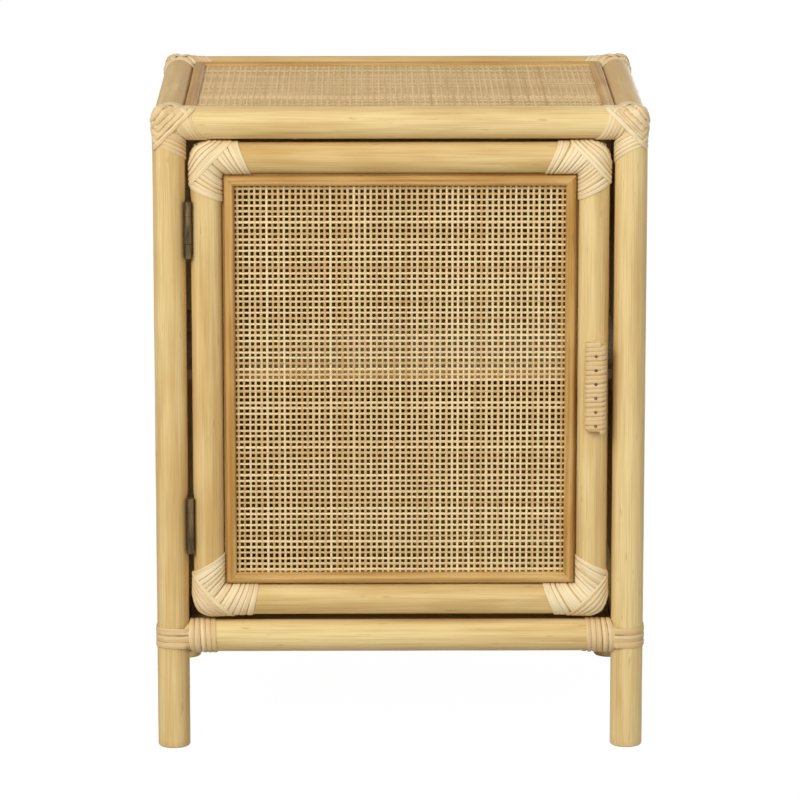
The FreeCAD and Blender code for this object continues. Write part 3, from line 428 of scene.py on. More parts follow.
def set_grain(bm, origin, along, across, tint):
    """Grain coordinates of a straight piece that runs along one direction from origin."""
    grain = bm.verts.layers.float_vector["grain"]
    shade = bm.verts.layers.float["tint"]
    third = along.cross(across)
    start = draw.uniform(0, GRAIN_STARTS)
    for vert in bm.verts:
        offset = vert.co - origin
        vert[grain] = (offset.dot(across), offset.dot(third), offset.dot(along) + start)
        vert[shade] = tint


# %% [markdown]
# ## Poles of the frame
# A rattan pole is a stem, so it is never quite round or straight. A leg is a line that is spun into
# a solid: its foot is beveled and its top is a quarter circle, made by spinning the shoulder's end.
# Small noise moves the rings inwards. A rail is spun the same way, and each end ring is pulled back
# to the leg it is coped to. A lower rail is thinner at its ends, under the bindings.

# %% Sizes of the frame
X_AXIS, Y_AXIS, Z_AXIS = Vector((1, 0, 0)), Vector((0, 1, 0)), Vector((0, 0, 1))
CORNERS = {
    "front_left": (-1, -1), "front_right": (1, -1), "rear_left": (-1, 1), "rear_right": (1, 1),
}


def middle(node):
    low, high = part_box(node)
    return (low + high) / 2


LEG_X = -middle("front_left_leg").x
LEG_Y = -middle("front_left_leg").y
RAIL_LOW = middle("lower_front_rail").z
RAIL_HIGH = middle("upper_front_rail").z
POLE_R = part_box("upper_front_rail")[1].z - RAIL_HIGH
print("poles", round(2000 * POLE_R, 1), "mm thick")

# %% Pole helpers
POLE_SIDES = 40
RING_STEP = 0.007
UNEVEN = 0.00028  # how far the skin of a pole dips
DIPS_ROUND, DIPS_ALONG = 60, 22  # per metre
SEEDS = 50  # wavers and dips start anywhere in this range of their noise
# Tints of single poles. They are partly the poles' own tone and partly painted light and shade:
# poles on the right and at the front are painted paler, those on the left and the door's top
# darker, as light falls on them, and the top's side and rear rails darker, a painted shade on their
# tops.
POLE_TONE_AND_PAINTED_LIGHT = {  # poles that differ from the rest
    "front_left_leg": -0.1, "front_right_leg": 0.16,
    "upper_front_rail": 0.15, "lower_front_rail": 0.15,
    "upper_left_rail": -0.42, "upper_right_rail": -0.3, "upper_rear_rail": -0.15,
    "door_top_rail": -0.12, "door_hinge_stile": -0.14, "door_bottom_rail": -0.02,
}
LEAF_DEPTH = 0.0012  # a hinge leaf is let into the pole by its own thickness
LEAF_HALF, LEAF_REACH = 0.025, 0.0255  # half of a leaf, and of the flat that it is let into


def spin_round(bm, centre, axis):
    bmesh.ops.spin(bm, geom=everything(bm), cent=centre, axis=axis, angle=math.tau,
                   steps=POLE_SIDES, use_merge=True)
    merge(bm)


def uneven(bm, origin, along):
    """Moves the skin of a pole inwards by smooth noise."""
    seed = draw.uniform(0, SEEDS)
    for vert in bm.verts:
        offset = vert.co - origin
        run = offset.dot(along)
        out = offset - run * along
        if out.length > MERGE:
            level = out.y * DIPS_ROUND + out.z * DIPS_ROUND
            wave = noise.noise(Vector((out.x * DIPS_ROUND, level, run * DIPS_ALONG + seed)))
            vert.co -= out.normalized() * UNEVEN * (0.5 + 0.5 * wave)


def beside_leaves(bm, node):
    """The vertices at the heights of a node's two hinge leaves."""
    low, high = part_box(node)
    heights = (low.z + LEAF_HALF, high.z - LEAF_HALF)
    return [v for v in bm.verts if min(abs(v.co.z - z) for z in heights) < LEAF_REACH]


def finish_pole(bm, name, body, origin, along, across):
    # the tint is each pole's own tone together with the painted light and shade from the table of
    # pole tints
    set_grain(bm, origin, along, across, POLE_TONE_AND_PAINTED_LIGHT.get(name, 0))
    finish_piece(bm, "pole_" + name, body, rattan, "rattan", [name])


# %% Legs
FOOT_ROUND = 0.002
SQUARE_FROM = 0.4  # the share of x and of y from which a corner is filled out fully


def square_up(spot):
    """Fills out the outermost part of a round corner. spot is measured outwards from its centre."""
    x, y, z = spot
    if min(spot) <= 0:
        return spot
    level = math.hypot(x, y)
    turn = math.atan2(z, level)
    grow = (math.cos(turn) ** 4 + math.sin(turn) ** 4) ** -0.25 - 1
    full = SQUARE_FROM * level
    share = smooth_step(x / full) * smooth_step(y / full)
    return [part * (1 + grow * share) for part in spot]


def leg(name, side_x, side_y):
    bm = new_bmesh()
    foot = Vector((side_x * LEG_X, side_y * LEG_Y, 0))
    rim = foot + POLE_R * X_AXIS
    top = foot + RAIL_HIGH * Z_AXIS
    verts = [bm.verts.new(point) for point in (foot, rim, rim + RAIL_HIGH * Z_AXIS)]
    for pair in (verts[:2], verts[1:]):
        bm.edges.new(pair)
    bmesh.ops.bevel(bm, geom=[verts[1]], offset=FOOT_ROUND, affect="VERTICES", segments=3,
                    profile=0.5, material=-1)
    shoulder = max(bm.verts, key=lambda v: v.co.z)
    bmesh.ops.spin(bm, geom=[shoulder], cent=top, axis=Y_AXIS, angle=-math.pi / 2, steps=8)
    shaft = max(bm.edges, key=lambda e: e.calc_length())
    bmesh.ops.subdivide_edges(bm, edges=[shaft], cuts=round(RAIL_HIGH / RING_STEP))
    spin_round(bm, foot, Z_AXIS)
    uneven(bm, foot, Z_AXIS)
    for vert in bm.verts:
        x, y, z = vert.co - top
        x, y, z = square_up([side_x * x, side_y * y, z])
        vert.co = top + Vector((side_x * x, side_y * y, z))
    if name == "front_left_leg":
        for vert in beside_leaves(bm, "hinge_frame_leaves"):
            vert.co.x = min(vert.co.x, foot.x + POLE_R - LEAF_DEPTH)
    finish_pole(bm, name, "cabinet", foot, Z_AXIS, X_AXIS)


for corner, (side_x, side_y) in CORNERS.items():
    leg(corner + "_leg", side_x, side_y)
print("legs done")

# %% Rails
NECK = 0.0013  # how much thinner a lower rail is at its ends
NECK_FROM = 0.026  # from the leg's axis
NECK_RUN = 0.010


def rail(name, centre, along, inside, half, ball):
    """One rail about centre. inside points to the middle of the table, and ball is true beside
    the legs' round tops."""
    bm = new_bmesh()
    ends = [bm.verts.new(centre + POLE_R * Z_AXIS + end * half * along) for end in (-1, 1)]
    edge = bm.edges.new(ends)
    bmesh.ops.subdivide_edges(bm, edges=[edge], cuts=round(2 * half / RING_STEP))
    spin_round(bm, centre, along)
    for vert in bm.verts:
        offset = vert.co - centre
        run = offset.dot(along)
        if not ball:
            thinner = NECK * smooth_step((abs(run) - half + NECK_FROM) / NECK_RUN)
            vert.co -= (offset - run * along).normalized() * thinner
            offset = vert.co - centre
        if abs(run) > half - MERGE:
            sideways, rise = offset.dot(inside), offset.z
            held = POLE_R ** 2 - sideways ** 2 - (max(rise, 0) ** 2 if ball else 0)
            back = max(math.sqrt(max(held, 0)), sideways)
            vert.co -= math.copysign(back, run) * along
    uneven(bm, centre, along)
    fill_holes(bm)
    finish_pole(bm, name, "cabinet", centre, along, Z_AXIS)


for level, z in (("lower", RAIL_LOW), ("upper", RAIL_HIGH)):
    ball = level == "upper"
    rail(level + "_front_rail", Vector((0, -LEG_Y, z)), X_AXIS, Y_AXIS, LEG_X, ball)
    rail(level + "_rear_rail", Vector((0, LEG_Y, z)), X_AXIS, -Y_AXIS, LEG_X, ball)
    rail(level + "_left_rail", Vector((-LEG_X, 0, z)), Y_AXIS, X_AXIS, LEG_Y, ball)
    rail(level + "_right_rail", Vector((LEG_X, 0, z)), Y_AXIS, -X_AXIS, LEG_Y, ball)
print("rails done")

# %% [markdown]
# ## Poles of the door
# The door's four poles meet in mitres at its corners, under the bindings. A circle is pulled along
# half a pole and cut at the mitre. The points of its sharp tip are pulled in to a tight bend, and
# the half is mirrored. Flats are planed where the hinges, the handle and the strike plate sit.

# %% Sizes and flats of the door
DOOR_Y = middle("door_top_rail").y
DOOR_R = DOOR_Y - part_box("door_top_rail")[0].y
STILE_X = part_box("door_handle_stile")[1].x - DOOR_R
DOOR_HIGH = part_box("door_top_rail")[1].z - DOOR_R
DOOR_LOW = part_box("door_bottom_rail")[0].z + DOOR_R
DOOR_MID = Vector((0, DOOR_Y, (DOOR_HIGH + DOOR_LOW) / 2))
HANDLE_SEAT_Y = -0.17275  # the flat that the wound handle lies on
STRIKE_SEAT_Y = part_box("strike_plate")[0].y


def seat_door_fittings(bm, name):
    """Planes the flats that the hinges, the handle and the strike plate sit on."""
    if name == "door_hinge_stile":
        for vert in beside_leaves(bm, "hinge_door_leaves"):
            vert.co.x = max(vert.co.x, -STILE_X - DOOR_R + LEAF_DEPTH)
    if name == "door_handle_stile":
        grip_low, grip_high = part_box("handle_core")
        plate_low, plate_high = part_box("strike_plate")
        for vert in bm.verts:
            if grip_low.z < vert.co.z < grip_high.z:
                vert.co.y = max(vert.co.y, HANDLE_SEAT_Y)
            if plate_low.z < vert.co.z < plate_high.z:
                vert.co.y = min(vert.co.y, STRIKE_SEAT_Y)


print("door poles", round(2000 * DOOR_R, 1), "mm thick")

# %% Door poles
BEND_R = 0.001  # of the poles' middle line at a corner: a tight bend
MIRROR_MERGE = 1e-5


def bend_tip(bm, crossing, run, out):
    """Pulls in the tip past the crossing of two middle lines, to the skin of a bent pole."""
    for vert in bm.verts:
        offset = vert.co - crossing
        first, second = offset.dot(run) + BEND_R, offset.dot(out) + BEND_R
        if first > 0 and second > 0:
            held = BEND_R + math.sqrt(max(DOOR_R ** 2 - offset.y ** 2, 0))
            pull = min(held / math.hypot(first, second), 1) - 1
            vert.co += pull * (first * run + second * out)


def door_pole(name, run, out, reach, half):
    """A pole reach away from the door's middle on the out side. half is half its length."""
    bm = new_bmesh()
    centre = DOOR_MID + reach * out
    facing = Matrix.Translation(centre) @ run.to_track_quat("Z", "Y").to_matrix().to_4x4()
    bmesh.ops.create_circle(bm, segments=POLE_SIDES, radius=DOOR_R, matrix=facing)
    steps = round((half + DOOR_R) / RING_STEP)
    step = run * (half + DOOR_R) / steps
    ring = bm.edges[:]
    for _ in range(steps):
        grown = bmesh.ops.extrude_edge_only(bm, edges=ring)["geom"]
        ring = only(grown, bmesh.types.BMEdge)
        bmesh.ops.translate(bm, verts=only(grown, bmesh.types.BMVert), vec=step)
    crossing = centre + half * run
    cut = bmesh.ops.bisect_plane(bm, geom=everything(bm), plane_co=crossing,
                                 plane_no=run - out, clear_outer=True)["geom_cut"]
    bmesh.ops.holes_fill(bm, edges=only(cut, bmesh.types.BMEdge))
    bend_tip(bm, crossing, run, out)
    bmesh.ops.mirror(bm, geom=everything(bm), matrix=Matrix.Translation(-DOOR_MID),
                     axis="Z" if run == Z_AXIS else "X", merge_dist=MIRROR_MERGE)
    merge(bm, MIRROR_MERGE)
    uneven(bm, centre, run)
    seat_door_fittings(bm, name)
    finish_pole(bm, name, "door", centre, run, Y_AXIS)


half_high = (DOOR_HIGH - DOOR_LOW) / 2
door_pole("door_hinge_stile", Z_AXIS, -X_AXIS, STILE_X, half_high)
door_pole("door_handle_stile", Z_AXIS, X_AXIS, STILE_X, half_high)
door_pole("door_top_rail", X_AXIS, Z_AXIS, half_high, STILE_X)
door_pole("door_bottom_rail", X_AXIS, -Z_AXIS, half_high, STILE_X)
print("door poles done")

# %% [markdown]
# ## Laying a strip
# All bindings are flat strips with a rounded back. A flat grid is bent to each one: its long side
# follows the winding and its short side goes once round the strip's section. `place` says where a
# point of the strip goes, from the turn it is on, how far across the strip it lies (-1 to 1) and
# how high above its seat (0 to 1).

# %% Strip maker
STRIP_T = 0.001
STRIP_LIFT = 0.00012  # a strip lies this far off its pole
STRIP_COVER = 0.91  # share of the pitch that a strip covers
STRIP_TINT = 0.2  # the most that a strip is lighter or darker
TINT_WANDER, TINT_WAVES = 0.12, 40  # how its tint changes along it, and how often in a metre
WAVER_STEP = 0.93  # in the noise, from turn to turn
SECTION = ((-1, 0), (-1, 0.5), (-0.62, 0.9), (0, 1), (0.62, 0.9), (1, 0.5), (1, 0))


def lay_strip(bm, first, last, steps, place, width, length, tint=None, section=SECTION):
    """A strip from turn first to turn last. Its width and length serve the grain."""
    grain = bm.verts.layers.float_vector["grain"]
    shade = bm.verts.layers.float["tint"]
    sides = len(section)
    grid = bmesh.ops.create_grid(bm, x_segments=steps, y_segments=sides, size=1)["verts"]
    start = draw.uniform(0, GRAIN_STARTS)
    tint = draw.uniform(-STRIP_TINT, STRIP_TINT) if tint is None else tint
    for vert in grid:
        share = (vert.co.x + 1) / 2
        across, height = section[round((vert.co.y + 1) / 2 * sides) % sides]
        vert.co = place(first + (last - first) * share, across, height)
        vert[grain] = (across * width / 2 + start, height * STRIP_T, share * length + start)
        wave = noise.noise(Vector((share * length * TINT_WAVES, start, 0)))
        vert[shade] = tint + TINT_WANDER * wave


def lay_turns(bm, first, turns, steps, place, width, turn_length):
    """A strip that is wound from turn first on, with so many steps in each turn."""
    lay_strip(bm, first, first + turns, turns * steps, place, width, turns * turn_length)


def waver(turn, seed, most):
    """A smooth wander of up to about most, different on each turn of a winding."""
    return most * noise.noise(Vector((turn * WAVER_STEP, seed, 0)))


def close_strips(bm):
    merge(bm)
    fill_holes(bm)


def finish_binding(bm, name, body, shade):
    close_strips(bm)
    finish_piece(bm, name + "_wrap", body, binding, "binding", [name + "_binding"], shade)


# %% [markdown]
# ## Bindings at the feet of the frame
# Where the lower rails meet a leg, three flat strips go round the outside of the leg from rail to
# rail, and their ends are held down by a strip wound round each rail. The wound strip is one helix.

# %% Windings on the lower rails
RAIL_TURNS, RAIL_STEPS = 5, 32
RAIL_PITCH = 0.0048
RAIL_WRAP_START = 0.0151  # from the leg's axis
RAIL_WAVER = 0.12  # of the pitch
WRAP_HUG = 0.0022  # how far the first turns bend towards the leg, in front and behind
HUG_TURNS = 2.5


def wound(bm, centre, along):
    """A helix round a lower rail that runs along one direction from the leg's axis at centre."""
    third = along.cross(Z_AXIS)
    seed = draw.uniform(0, SEEDS)

    def place(turn, across, height):
        angle = math.tau * turn
        out = math.cos(angle) * Z_AXIS + math.sin(angle) * third
        count = turn + 0.5 + 0.5 * across * STRIP_COVER + waver(turn, seed, RAIL_WAVER)
        hug = WRAP_HUG * math.sin(angle) ** 2 * max(1 - count / HUG_TURNS, 0)
        run = RAIL_WRAP_START + RAIL_PITCH * count - hug
        return centre + run * along + (POLE_R + STRIP_LIFT + height * STRIP_T) * out

    lay_turns(bm, -0.5, RAIL_TURNS, RAIL_STEPS, place, RAIL_PITCH, math.tau * POLE_R)


# %% Bands round the legs
LEG_BANDS, BAND_STEPS = 3, 30
LEG_BAND_PITCH = 0.0065
BAND_TAIL = 0.0185  # a band's end, from the leg's axis
BAND_DIP = (0.0108, 0.0142)  # where a band goes under the rail's winding, from the leg's axis
BAND_LEAN, BAND_SWAY = 0.0004, 6  # how far a band leaves its level, and radians of that wave
LOWER_SHADE = -0.4


def leg_band(bm, centre, side_x, side_y, z, width):
    """One flat strip round the outside of a leg, from rail to rail."""
    radius = POLE_R + STRIP_LIFT
    arc = math.pi / 2 * radius
    length = arc + 2 * BAND_TAIL
    lean = draw.uniform(-BAND_LEAN, BAND_LEAN)

    def place(run, across, height):
        beyond = 0
        angle = (run - BAND_TAIL) / radius
        if run < BAND_TAIL:
            beyond, angle = BAND_TAIL - run, 0
        if run > BAND_TAIL + arc:
            beyond, angle = run - BAND_TAIL - arc, math.pi / 2
        level = z + 0.5 * across * width + lean * math.sin(BAND_SWAY * run / length)
        under = math.sqrt(POLE_R ** 2 - (level - RAIL_LOW) ** 2) - (1 - height) * STRIP_T
        dip = smooth_step((beyond - BAND_DIP[0]) / (BAND_DIP[1] - BAND_DIP[0]))
        reach = radius + height * STRIP_T
        reach += (under - reach) * dip
        away_x = reach * math.sin(angle) - (beyond if angle == 0 else 0)
        away_y = reach * math.cos(angle) - (beyond if angle > 0 else 0)
        return centre + Vector((side_x * away_x, side_y * away_y, level))

    lay_strip(bm, 0, length, BAND_STEPS, place, width, length)


for corner, (side_x, side_y) in CORNERS.items():
    bm = new_bmesh()
    axis_point = Vector((side_x * LEG_X, side_y * LEG_Y, 0))
    for along in (-side_x * X_AXIS, -side_y * Y_AXIS):
        wound(bm, axis_point + RAIL_LOW * Z_AXIS, along)
    for band in range(LEG_BANDS):
        z = RAIL_LOW + (band - (LEG_BANDS - 1) / 2) * LEG_BAND_PITCH
        leg_band(bm, axis_point, side_x, side_y, z, LEG_BAND_PITCH * STRIP_COVER)
    finish_binding(bm, "lower_" + corner, "cabinet", LOWER_SHADE)
print("lower bindings done")

# %% [markdown]
# ## Corners that bend
# On the door and at the top of the frame, poles turn a corner. Two maps describe a bound corner
# seen from the front. The fan map follows a line from the corner's inner edge to its outer edge,
# where the turns are further apart. The crossing map lays strips straight across the outer corner.

# %% Corner maps
HALF_ROOT = math.sqrt(0.5)
HALVINGS = 22


def crossing_offset(first, second, bend):
    """How far a point, given from the bend's centre, lies from the poles' middle line."""
    if first > 0 and second > 0:
        return math.hypot(first, second) - bend
    return max(first, second) - bend


def crossing_point(away, swing, radius, bend):
    """A point of a straight cut across the corner: its places along two axes, and its depth. away
    is from the bend's centre along the diagonal, and swing goes round the poles."""
    outer = bend + radius
    reach = outer / HALF_ROOT - away
    if away > outer * HALF_ROOT:
        reach = math.sqrt(max(outer ** 2 - away ** 2, 0))
    run = reach * math.sin(swing)
    first, second = (away - run) * HALF_ROOT, (away + run) * HALF_ROOT
    drop = crossing_offset(first, second, bend)
    depth = math.copysign(math.sqrt(max(radius ** 2 - drop ** 2, 0)), math.cos(swing))
    return first, second, depth


def fan_point(offset, inner, outer, bend):
    """The point between inner and outer that lies offset from the poles' middle lines, found by
    halving. All are given outwards from the place where the middle lines cross."""
    low, high = 0.0, 1.0
    for _ in range(HALVINGS):
        share = (low + high) / 2
        first, second = (a + share * (b - a) for a, b in zip(inner, outer))
        if crossing_offset(first + bend, second + bend, bend) < offset:
            low = share
        else:
            high = share
    return first, second


# %% [markdown]
# ## Bindings of the door's corners
# Each corner of the door has one strip wound fifteen times in a fan, and then another laid across
# the outside of the bend, over the fan's outer ends.

# %% Door corner bindings
# how far a fan reaches from the inner and the outer corner, on the stile and then on the rail, and
# the first crossing strip's edge, from the bend's centre
DOOR_CORNERS = {
    ("upper", "left"): ((0.0227, 0.0410), (0.0250, 0.0405), -0.0054),
    ("upper", "right"): ((0.0212, 0.0370), (0.0290, 0.0440), -0.0040),
    ("lower", "left"): ((0.0270, 0.0415), (0.0295, 0.0510), -0.0055),
    ("lower", "right"): ((0.0250, 0.0420), (0.0290, 0.0460), -0.0050),
}
FAN_TURNS, FAN_STEPS = 15, 36
FAN_STRIP_W = 0.0035
FAN_WAVER, CROSS_WAVER = 0.3, 0.1  # of the pitch
FAN_BACK = 0.25  # the part of a turn that lies before the fan's first end
CROSS_TURNS, CROSS_STEPS = 5, 40
CROSS_PINCH = 0.25  # how much closer the crossing strips lie at the edges of the poles
CROSS_LAYER = 0.0007  # a crossing strip's seat, above the fan's seat
CROSS_RISE = 0.0001  # each crossing turn lies this much higher than the one before
CROSS_END = 0.0001  # the least distance of a crossing strip from the tip
DOOR_SHADE = 0.1


def door_corner(level, hand, on_stile, on_rail, cross_first):
    bm = new_bmesh()
    side_x = -1 if hand == "left" else 1
    side_z = 1 if level == "upper" else -1
    corner = Vector((side_x * STILE_X, DOOR_Y, DOOR_HIGH if side_z > 0 else DOOR_LOW))
    bend = corner - BEND_R * Vector((side_x, 0, side_z))
    (stile_in, stile_out), (rail_in, rail_out) = on_stile, on_rail
    edge = DOOR_R + STRIP_LIFT + STRIP_T
    cross_pitch = (BEND_R + edge - cross_first) / CROSS_TURNS
    seed = draw.uniform(0, SEEDS)

    def fan_place(turn, across, height):
        count = turn - FAN_BACK + 0.5 * across * STRIP_COVER + waver(turn, seed, FAN_WAVER)
        share = count / (FAN_TURNS - 1)
        near = share * (stile_in + rail_in) - stile_in
        far = share * (stile_out + rail_out) - stile_out
        inner = (-edge - max(near, 0), -edge + min(near, 0))
        outer = (edge - max(far, 0), edge + min(far, 0))
        radius = DOOR_R + STRIP_LIFT + height * STRIP_T
        away, up = fan_point(-radius * math.cos(math.tau * turn), inner, outer, BEND_R)
        depth = radius * math.sin(math.tau * turn)
        return corner + Vector((side_x * away, -depth, side_z * up))

    def cross_place(turn, across, height):
        swing = math.tau * turn
        count = turn + 0.5 + 0.5 * across * STRIP_COVER + waver(turn, seed, CROSS_WAVER)
        radius = DOOR_R + STRIP_LIFT + CROSS_LAYER + CROSS_RISE * turn + height * STRIP_T
        away = cross_first + cross_pitch * count * (1 - CROSS_PINCH * math.sin(swing) ** 2)
        away = min(away, BEND_R + radius - CROSS_END)
        first, second, depth = crossing_point(away, swing, radius, BEND_R)
        return bend + Vector((side_x * first, -depth, side_z * second))

    turn_length = math.tau * DOOR_R
    lay_turns(bm, 0, FAN_TURNS, FAN_STEPS, fan_place, FAN_STRIP_W, turn_length)
    lay_turns(bm, -0.5, CROSS_TURNS, CROSS_STEPS, cross_place, cross_pitch, turn_length)
    finish_binding(bm, f"door_{level}_{hand}", "door", DOOR_SHADE)


for (level, hand), reaches in DOOR_CORNERS.items():
    door_corner(level, hand, *reaches)
print("door bindings done")

# %% [markdown]
# ## Bindings of the top corners
# Three poles meet at each top corner. A strip is wound round each pole in a tilted fan, close
# together on the inside and spread on the outside. Then short strips are laid across the front, the
# side and the top of the corner, and they pass over and under each other where they cross, like a
# basket.

# %% Tilted fans
TILT_TURNS = 5
TILT_STRIP_W = 0.0042
TILT_WAVER = 0.15  # of the pitch
TILT_IN = (0.0192, 0.0385)  # first and last turn on the inside of the corner, from its centre
TILT_OUT = (0.0030, 0.0215)
TILT_SINK = 0.0008  # how far the turns dip on the outside, under the basket
SINK_FROM, SINK_RUN = 0.3, 1.1  # in the cosine of the angle from the inside


def tilted(bm, centre, along, inside):
    third = along.cross(inside)
    seed = draw.uniform(0, SEEDS)

    def place(turn, across, height):
        angle = math.tau * turn
        share = (turn + 0.5 * across * STRIP_COVER + waver(turn, seed, TILT_WAVER)) / TILT_TURNS
        near = TILT_IN[0] + share * (TILT_IN[1] - TILT_IN[0])
        far = TILT_OUT[0] + share * (TILT_OUT[1] - TILT_OUT[0])
        run = far + (near - far) * (1 + math.cos(angle)) / 2
        out = math.cos(angle) * inside + math.sin(angle) * third
        sink = TILT_SINK * smooth_step((SINK_FROM - math.cos(angle)) / SINK_RUN)
        return centre + run * along + (POLE_R + STRIP_LIFT - sink + height * STRIP_T) * out

    lay_turns(bm, 0, TILT_TURNS, FAN_STEPS, place, TILT_STRIP_W, math.tau * POLE_R)


# %% Basket strips
BASKET_PITCH = 0.0048
BASKET_LAYER = 0.0002  # a basket strip's seat, above the fan's seat
BASKET_COVER = 0.86  # share of the pitch that a basket strip covers
BASKET_WEAVE = 0.00042  # how far a strip rises and dips where it crosses another
BASKET_STEPS, BASKET_LENGTH = 30, 0.05
WOVEN_STRIPS = 3  # strips of a face beyond these lie all over or all under the others
TUCK, TUCK_RUN = 0.0016, 0.4  # how far a strip's ends dip, and over how many radians
# the faces of a corner: the axes of their two edges, the axis they face, how many strips they have,
# where the first strip lies from the corner's centre, how far strips go round to either edge, and
# the other faces with a sign that says which goes over first
FACES = (
    {"edges": (0, 2), "faces": 1, "strips": 5, "from": -0.0058, "ends": (80, 80),
     "others": ((1, 1), (2, 1))},
    {"edges": (1, 2), "faces": 0, "strips": 4, "from": -0.0034, "ends": (64, 76),
     "others": ((0, -1), (2, 1))},
    {"edges": (0, 1), "faces": 2, "strips": 4, "from": -0.0034, "ends": (76, 64),
     "others": ((1, -1), (0, -1))},
)


def weave_lift(own, spot, others):
    """How far strip number own rises at spot, for each other face whose strips lie there too."""
    lift = 0
    for other, sign in others:
        first, second = FACES[other]["edges"]
        away = (spot[first] + spot[second]) * HALF_ROOT
        number = (away - FACES[other]["from"]) / BASKET_PITCH
        there = smooth_step(number + 1) * smooth_step(FACES[other]["strips"] - number)
        beat = math.cos(math.pi * (number + own)) if own < WOVEN_STRIPS else 1
        lift += sign * BASKET_WEAVE * there * beat
    return lift


def basket_strip(bm, centre, signs, face, number):
    """Strip number of one face of the corner. signs point out of the table along x, y and z."""
    (first, second), third = face["edges"], face["faces"]
    first_end, last_end = (math.radians(end) for end in face["ends"])

    def place(swing, across, height):
        away = face["from"] + BASKET_PITCH * (number + 0.5 * across * BASKET_COVER)
        end = first_end if swing < 0 else last_end
        sink = TUCK * smooth_step((abs(swing) - end + TUCK_RUN) / TUCK_RUN)

        def spot_at(radius):
            spot = [0, 0, 0]
            spot[first], spot[second], spot[third] = crossing_point(away, swing, radius, 0)
            return spot

        seat = POLE_R + STRIP_LIFT + BASKET_LAYER - sink + height * STRIP_T
        spot = square_up(spot_at(seat + weave_lift(number, spot_at(seat), face["others"])))
        return centre + Vector([side * part for side, part in zip(signs, spot)])

    lay_strip(bm, -first_end, last_end, BASKET_STEPS, place, BASKET_PITCH, BASKET_LENGTH)


# %% Top corner bindings
TOP_SHADE = -0.12

for corner, (side_x, side_y) in CORNERS.items():
    bm = new_bmesh()
    centre = Vector((side_x * LEG_X, side_y * LEG_Y, RAIL_HIGH))
    in_x, in_y = -side_x * X_AXIS, -side_y * Y_AXIS
    tilted(bm, centre, in_x, (in_y - Z_AXIS).normalized())
    tilted(bm, centre, in_y, (in_x - Z_AXIS).normalized())
    tilted(bm, centre, -Z_AXIS, (in_x + in_y).normalized())
    for face in FACES:
        for number in range(face["strips"]):
            basket_strip(bm, centre, (side_x, side_y, 1), face, number)
    finish_binding(bm, "upper_" + corner, "cabinet", TOP_SHADE)
print("top bindings done")

# %% [markdown]
# ## Trims
# Flat strips with rounded edges hold down the cane and are mitred at the corners. One strip is a
# cube that is stretched, beveled along its two upper edges and cut at both ends at a slant.

# %% Trim strips
TRIM_ROUND = 0.0036
TRIM_TINT = 0.15  # the most that a strip is lighter or darker than its tint
MITRE_GAP = 0.00012


def trim_strip(bm, length, width, thickness, place, tint):
    """Adds one strip. Its outer edge lies along x at y 0 before place turns it into position."""
    strip = new_bmesh()
    scale = Matrix.Diagonal((length, width, thickness, 1))
    cube = Matrix.Translation((0, width / 2, thickness / 2)) @ scale
    bmesh.ops.create_cube(strip, size=1, matrix=cube)
    upper = [e for e in strip.edges if all(v.co.z > thickness / 2 for v in e.verts)]
    long_edges = [e for e in upper if e.calc_length() > 2 * width]
    round_edges(strip, long_edges, TRIM_ROUND, segments=6)
    for end in (-1, 1):
        corner = Vector((end * (length / 2 - MITRE_GAP), 0, 0))
        bmesh.ops.bisect_plane(strip, geom=everything(strip), plane_co=corner,
                               plane_no=(end, 1, 0), clear_outer=True)
        fill_holes(strip)
    set_grain(strip, Vector(), X_AXIS, Y_AXIS, tint + draw.uniform(-TRIM_TINT, TRIM_TINT))
    bmesh.ops.transform(strip, matrix=place, verts=strip.verts)
    scratch = bpy.data.meshes.new("scratch")
    strip.to_mesh(scratch)
    strip.free()
    bm.from_mesh(scratch)
    bpy.data.meshes.remove(scratch)


# %% Trim frames
TRIM_W = 0.010
TRIM_FIT = 0.001  # a trim reaches this much further than in CAD, to the poles' skin
DOOR_TRIM_FIT = -0.0006  # a narrow dark groove shows round the trim on the door's front
PLAIN_TINTS = (-0.25, -0.25, -0.25, -0.25)  # of the four strips: lower, right, upper and left
TOP_TINTS = (-0.25, -0.25, 0.03, -0.25)
DOOR_TINTS = (0.12, -0.2, -0.08, -0.28)
BOARD_FACES = {  # the directions across and up each covered board, seen from outside
    "top": (X_AXIS, Y_AXIS), "left_side": (-Y_AXIS, Z_AXIS),
    "right_side": (Y_AXIS, Z_AXIS), "back": (-X_AXIS, Z_AXIS),
}


def trim_frame(node, body, across, up, tints=PLAIN_TINTS, fit=TRIM_FIT):
    """Four strips in place of a trim node, larger than it by fit. across and up span its face, and
    their cross product is its front."""
    bm = new_bmesh()
    low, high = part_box(node)
    front = across.cross(up)
    size = high - low
    half_across, half_up = (abs(size.dot(axis)) / 2 + fit for axis in (across, up))
    thickness = abs(size.dot(front))
    seat = (low + high) / 2 - thickness / 2 * front
    frame_turn = Matrix((across, up, front)).transposed().to_4x4()
    for quarter in range(4):
        length, out = (half_across, half_up) if quarter % 2 == 0 else (half_up, half_across)
        turn = Matrix.Rotation(quarter * math.pi / 2, 4, "Z") @ Matrix.Translation((0, -out, 0))
        place = Matrix.Translation(seat) @ frame_turn @ turn
        trim_strip(bm, 2 * length, TRIM_W + fit, thickness, place, tints[quarter])
    finish_piece(bm, node + "_strips", body, trim_wood, "trim", [node])


for side, (across, up) in BOARD_FACES.items():
    tints = TOP_TINTS if side == "top" else PLAIN_TINTS
    trim_frame(side + "_trim", "cabinet", across, up, tints)
trim_frame("door_front_trim", "door", X_AXIS, Z_AXIS, DOOR_TINTS, DOOR_TRIM_FIT)
trim_frame("door_rear_trim", "door", -X_AXIS, Z_AXIS)
print("trims done")

# %% [markdown]
# ## Boards
# Plywood boards close the top, the sides, the back and the bottom. Each one is a flat box with
# broken edges that fits tight between the poles, so no light shows past it.

# %% Boards
BOARD_FIT = 0.0019  # how far a board reaches past its CAD solid, into the poles' skin
BOARD_EDGE = 0.0006


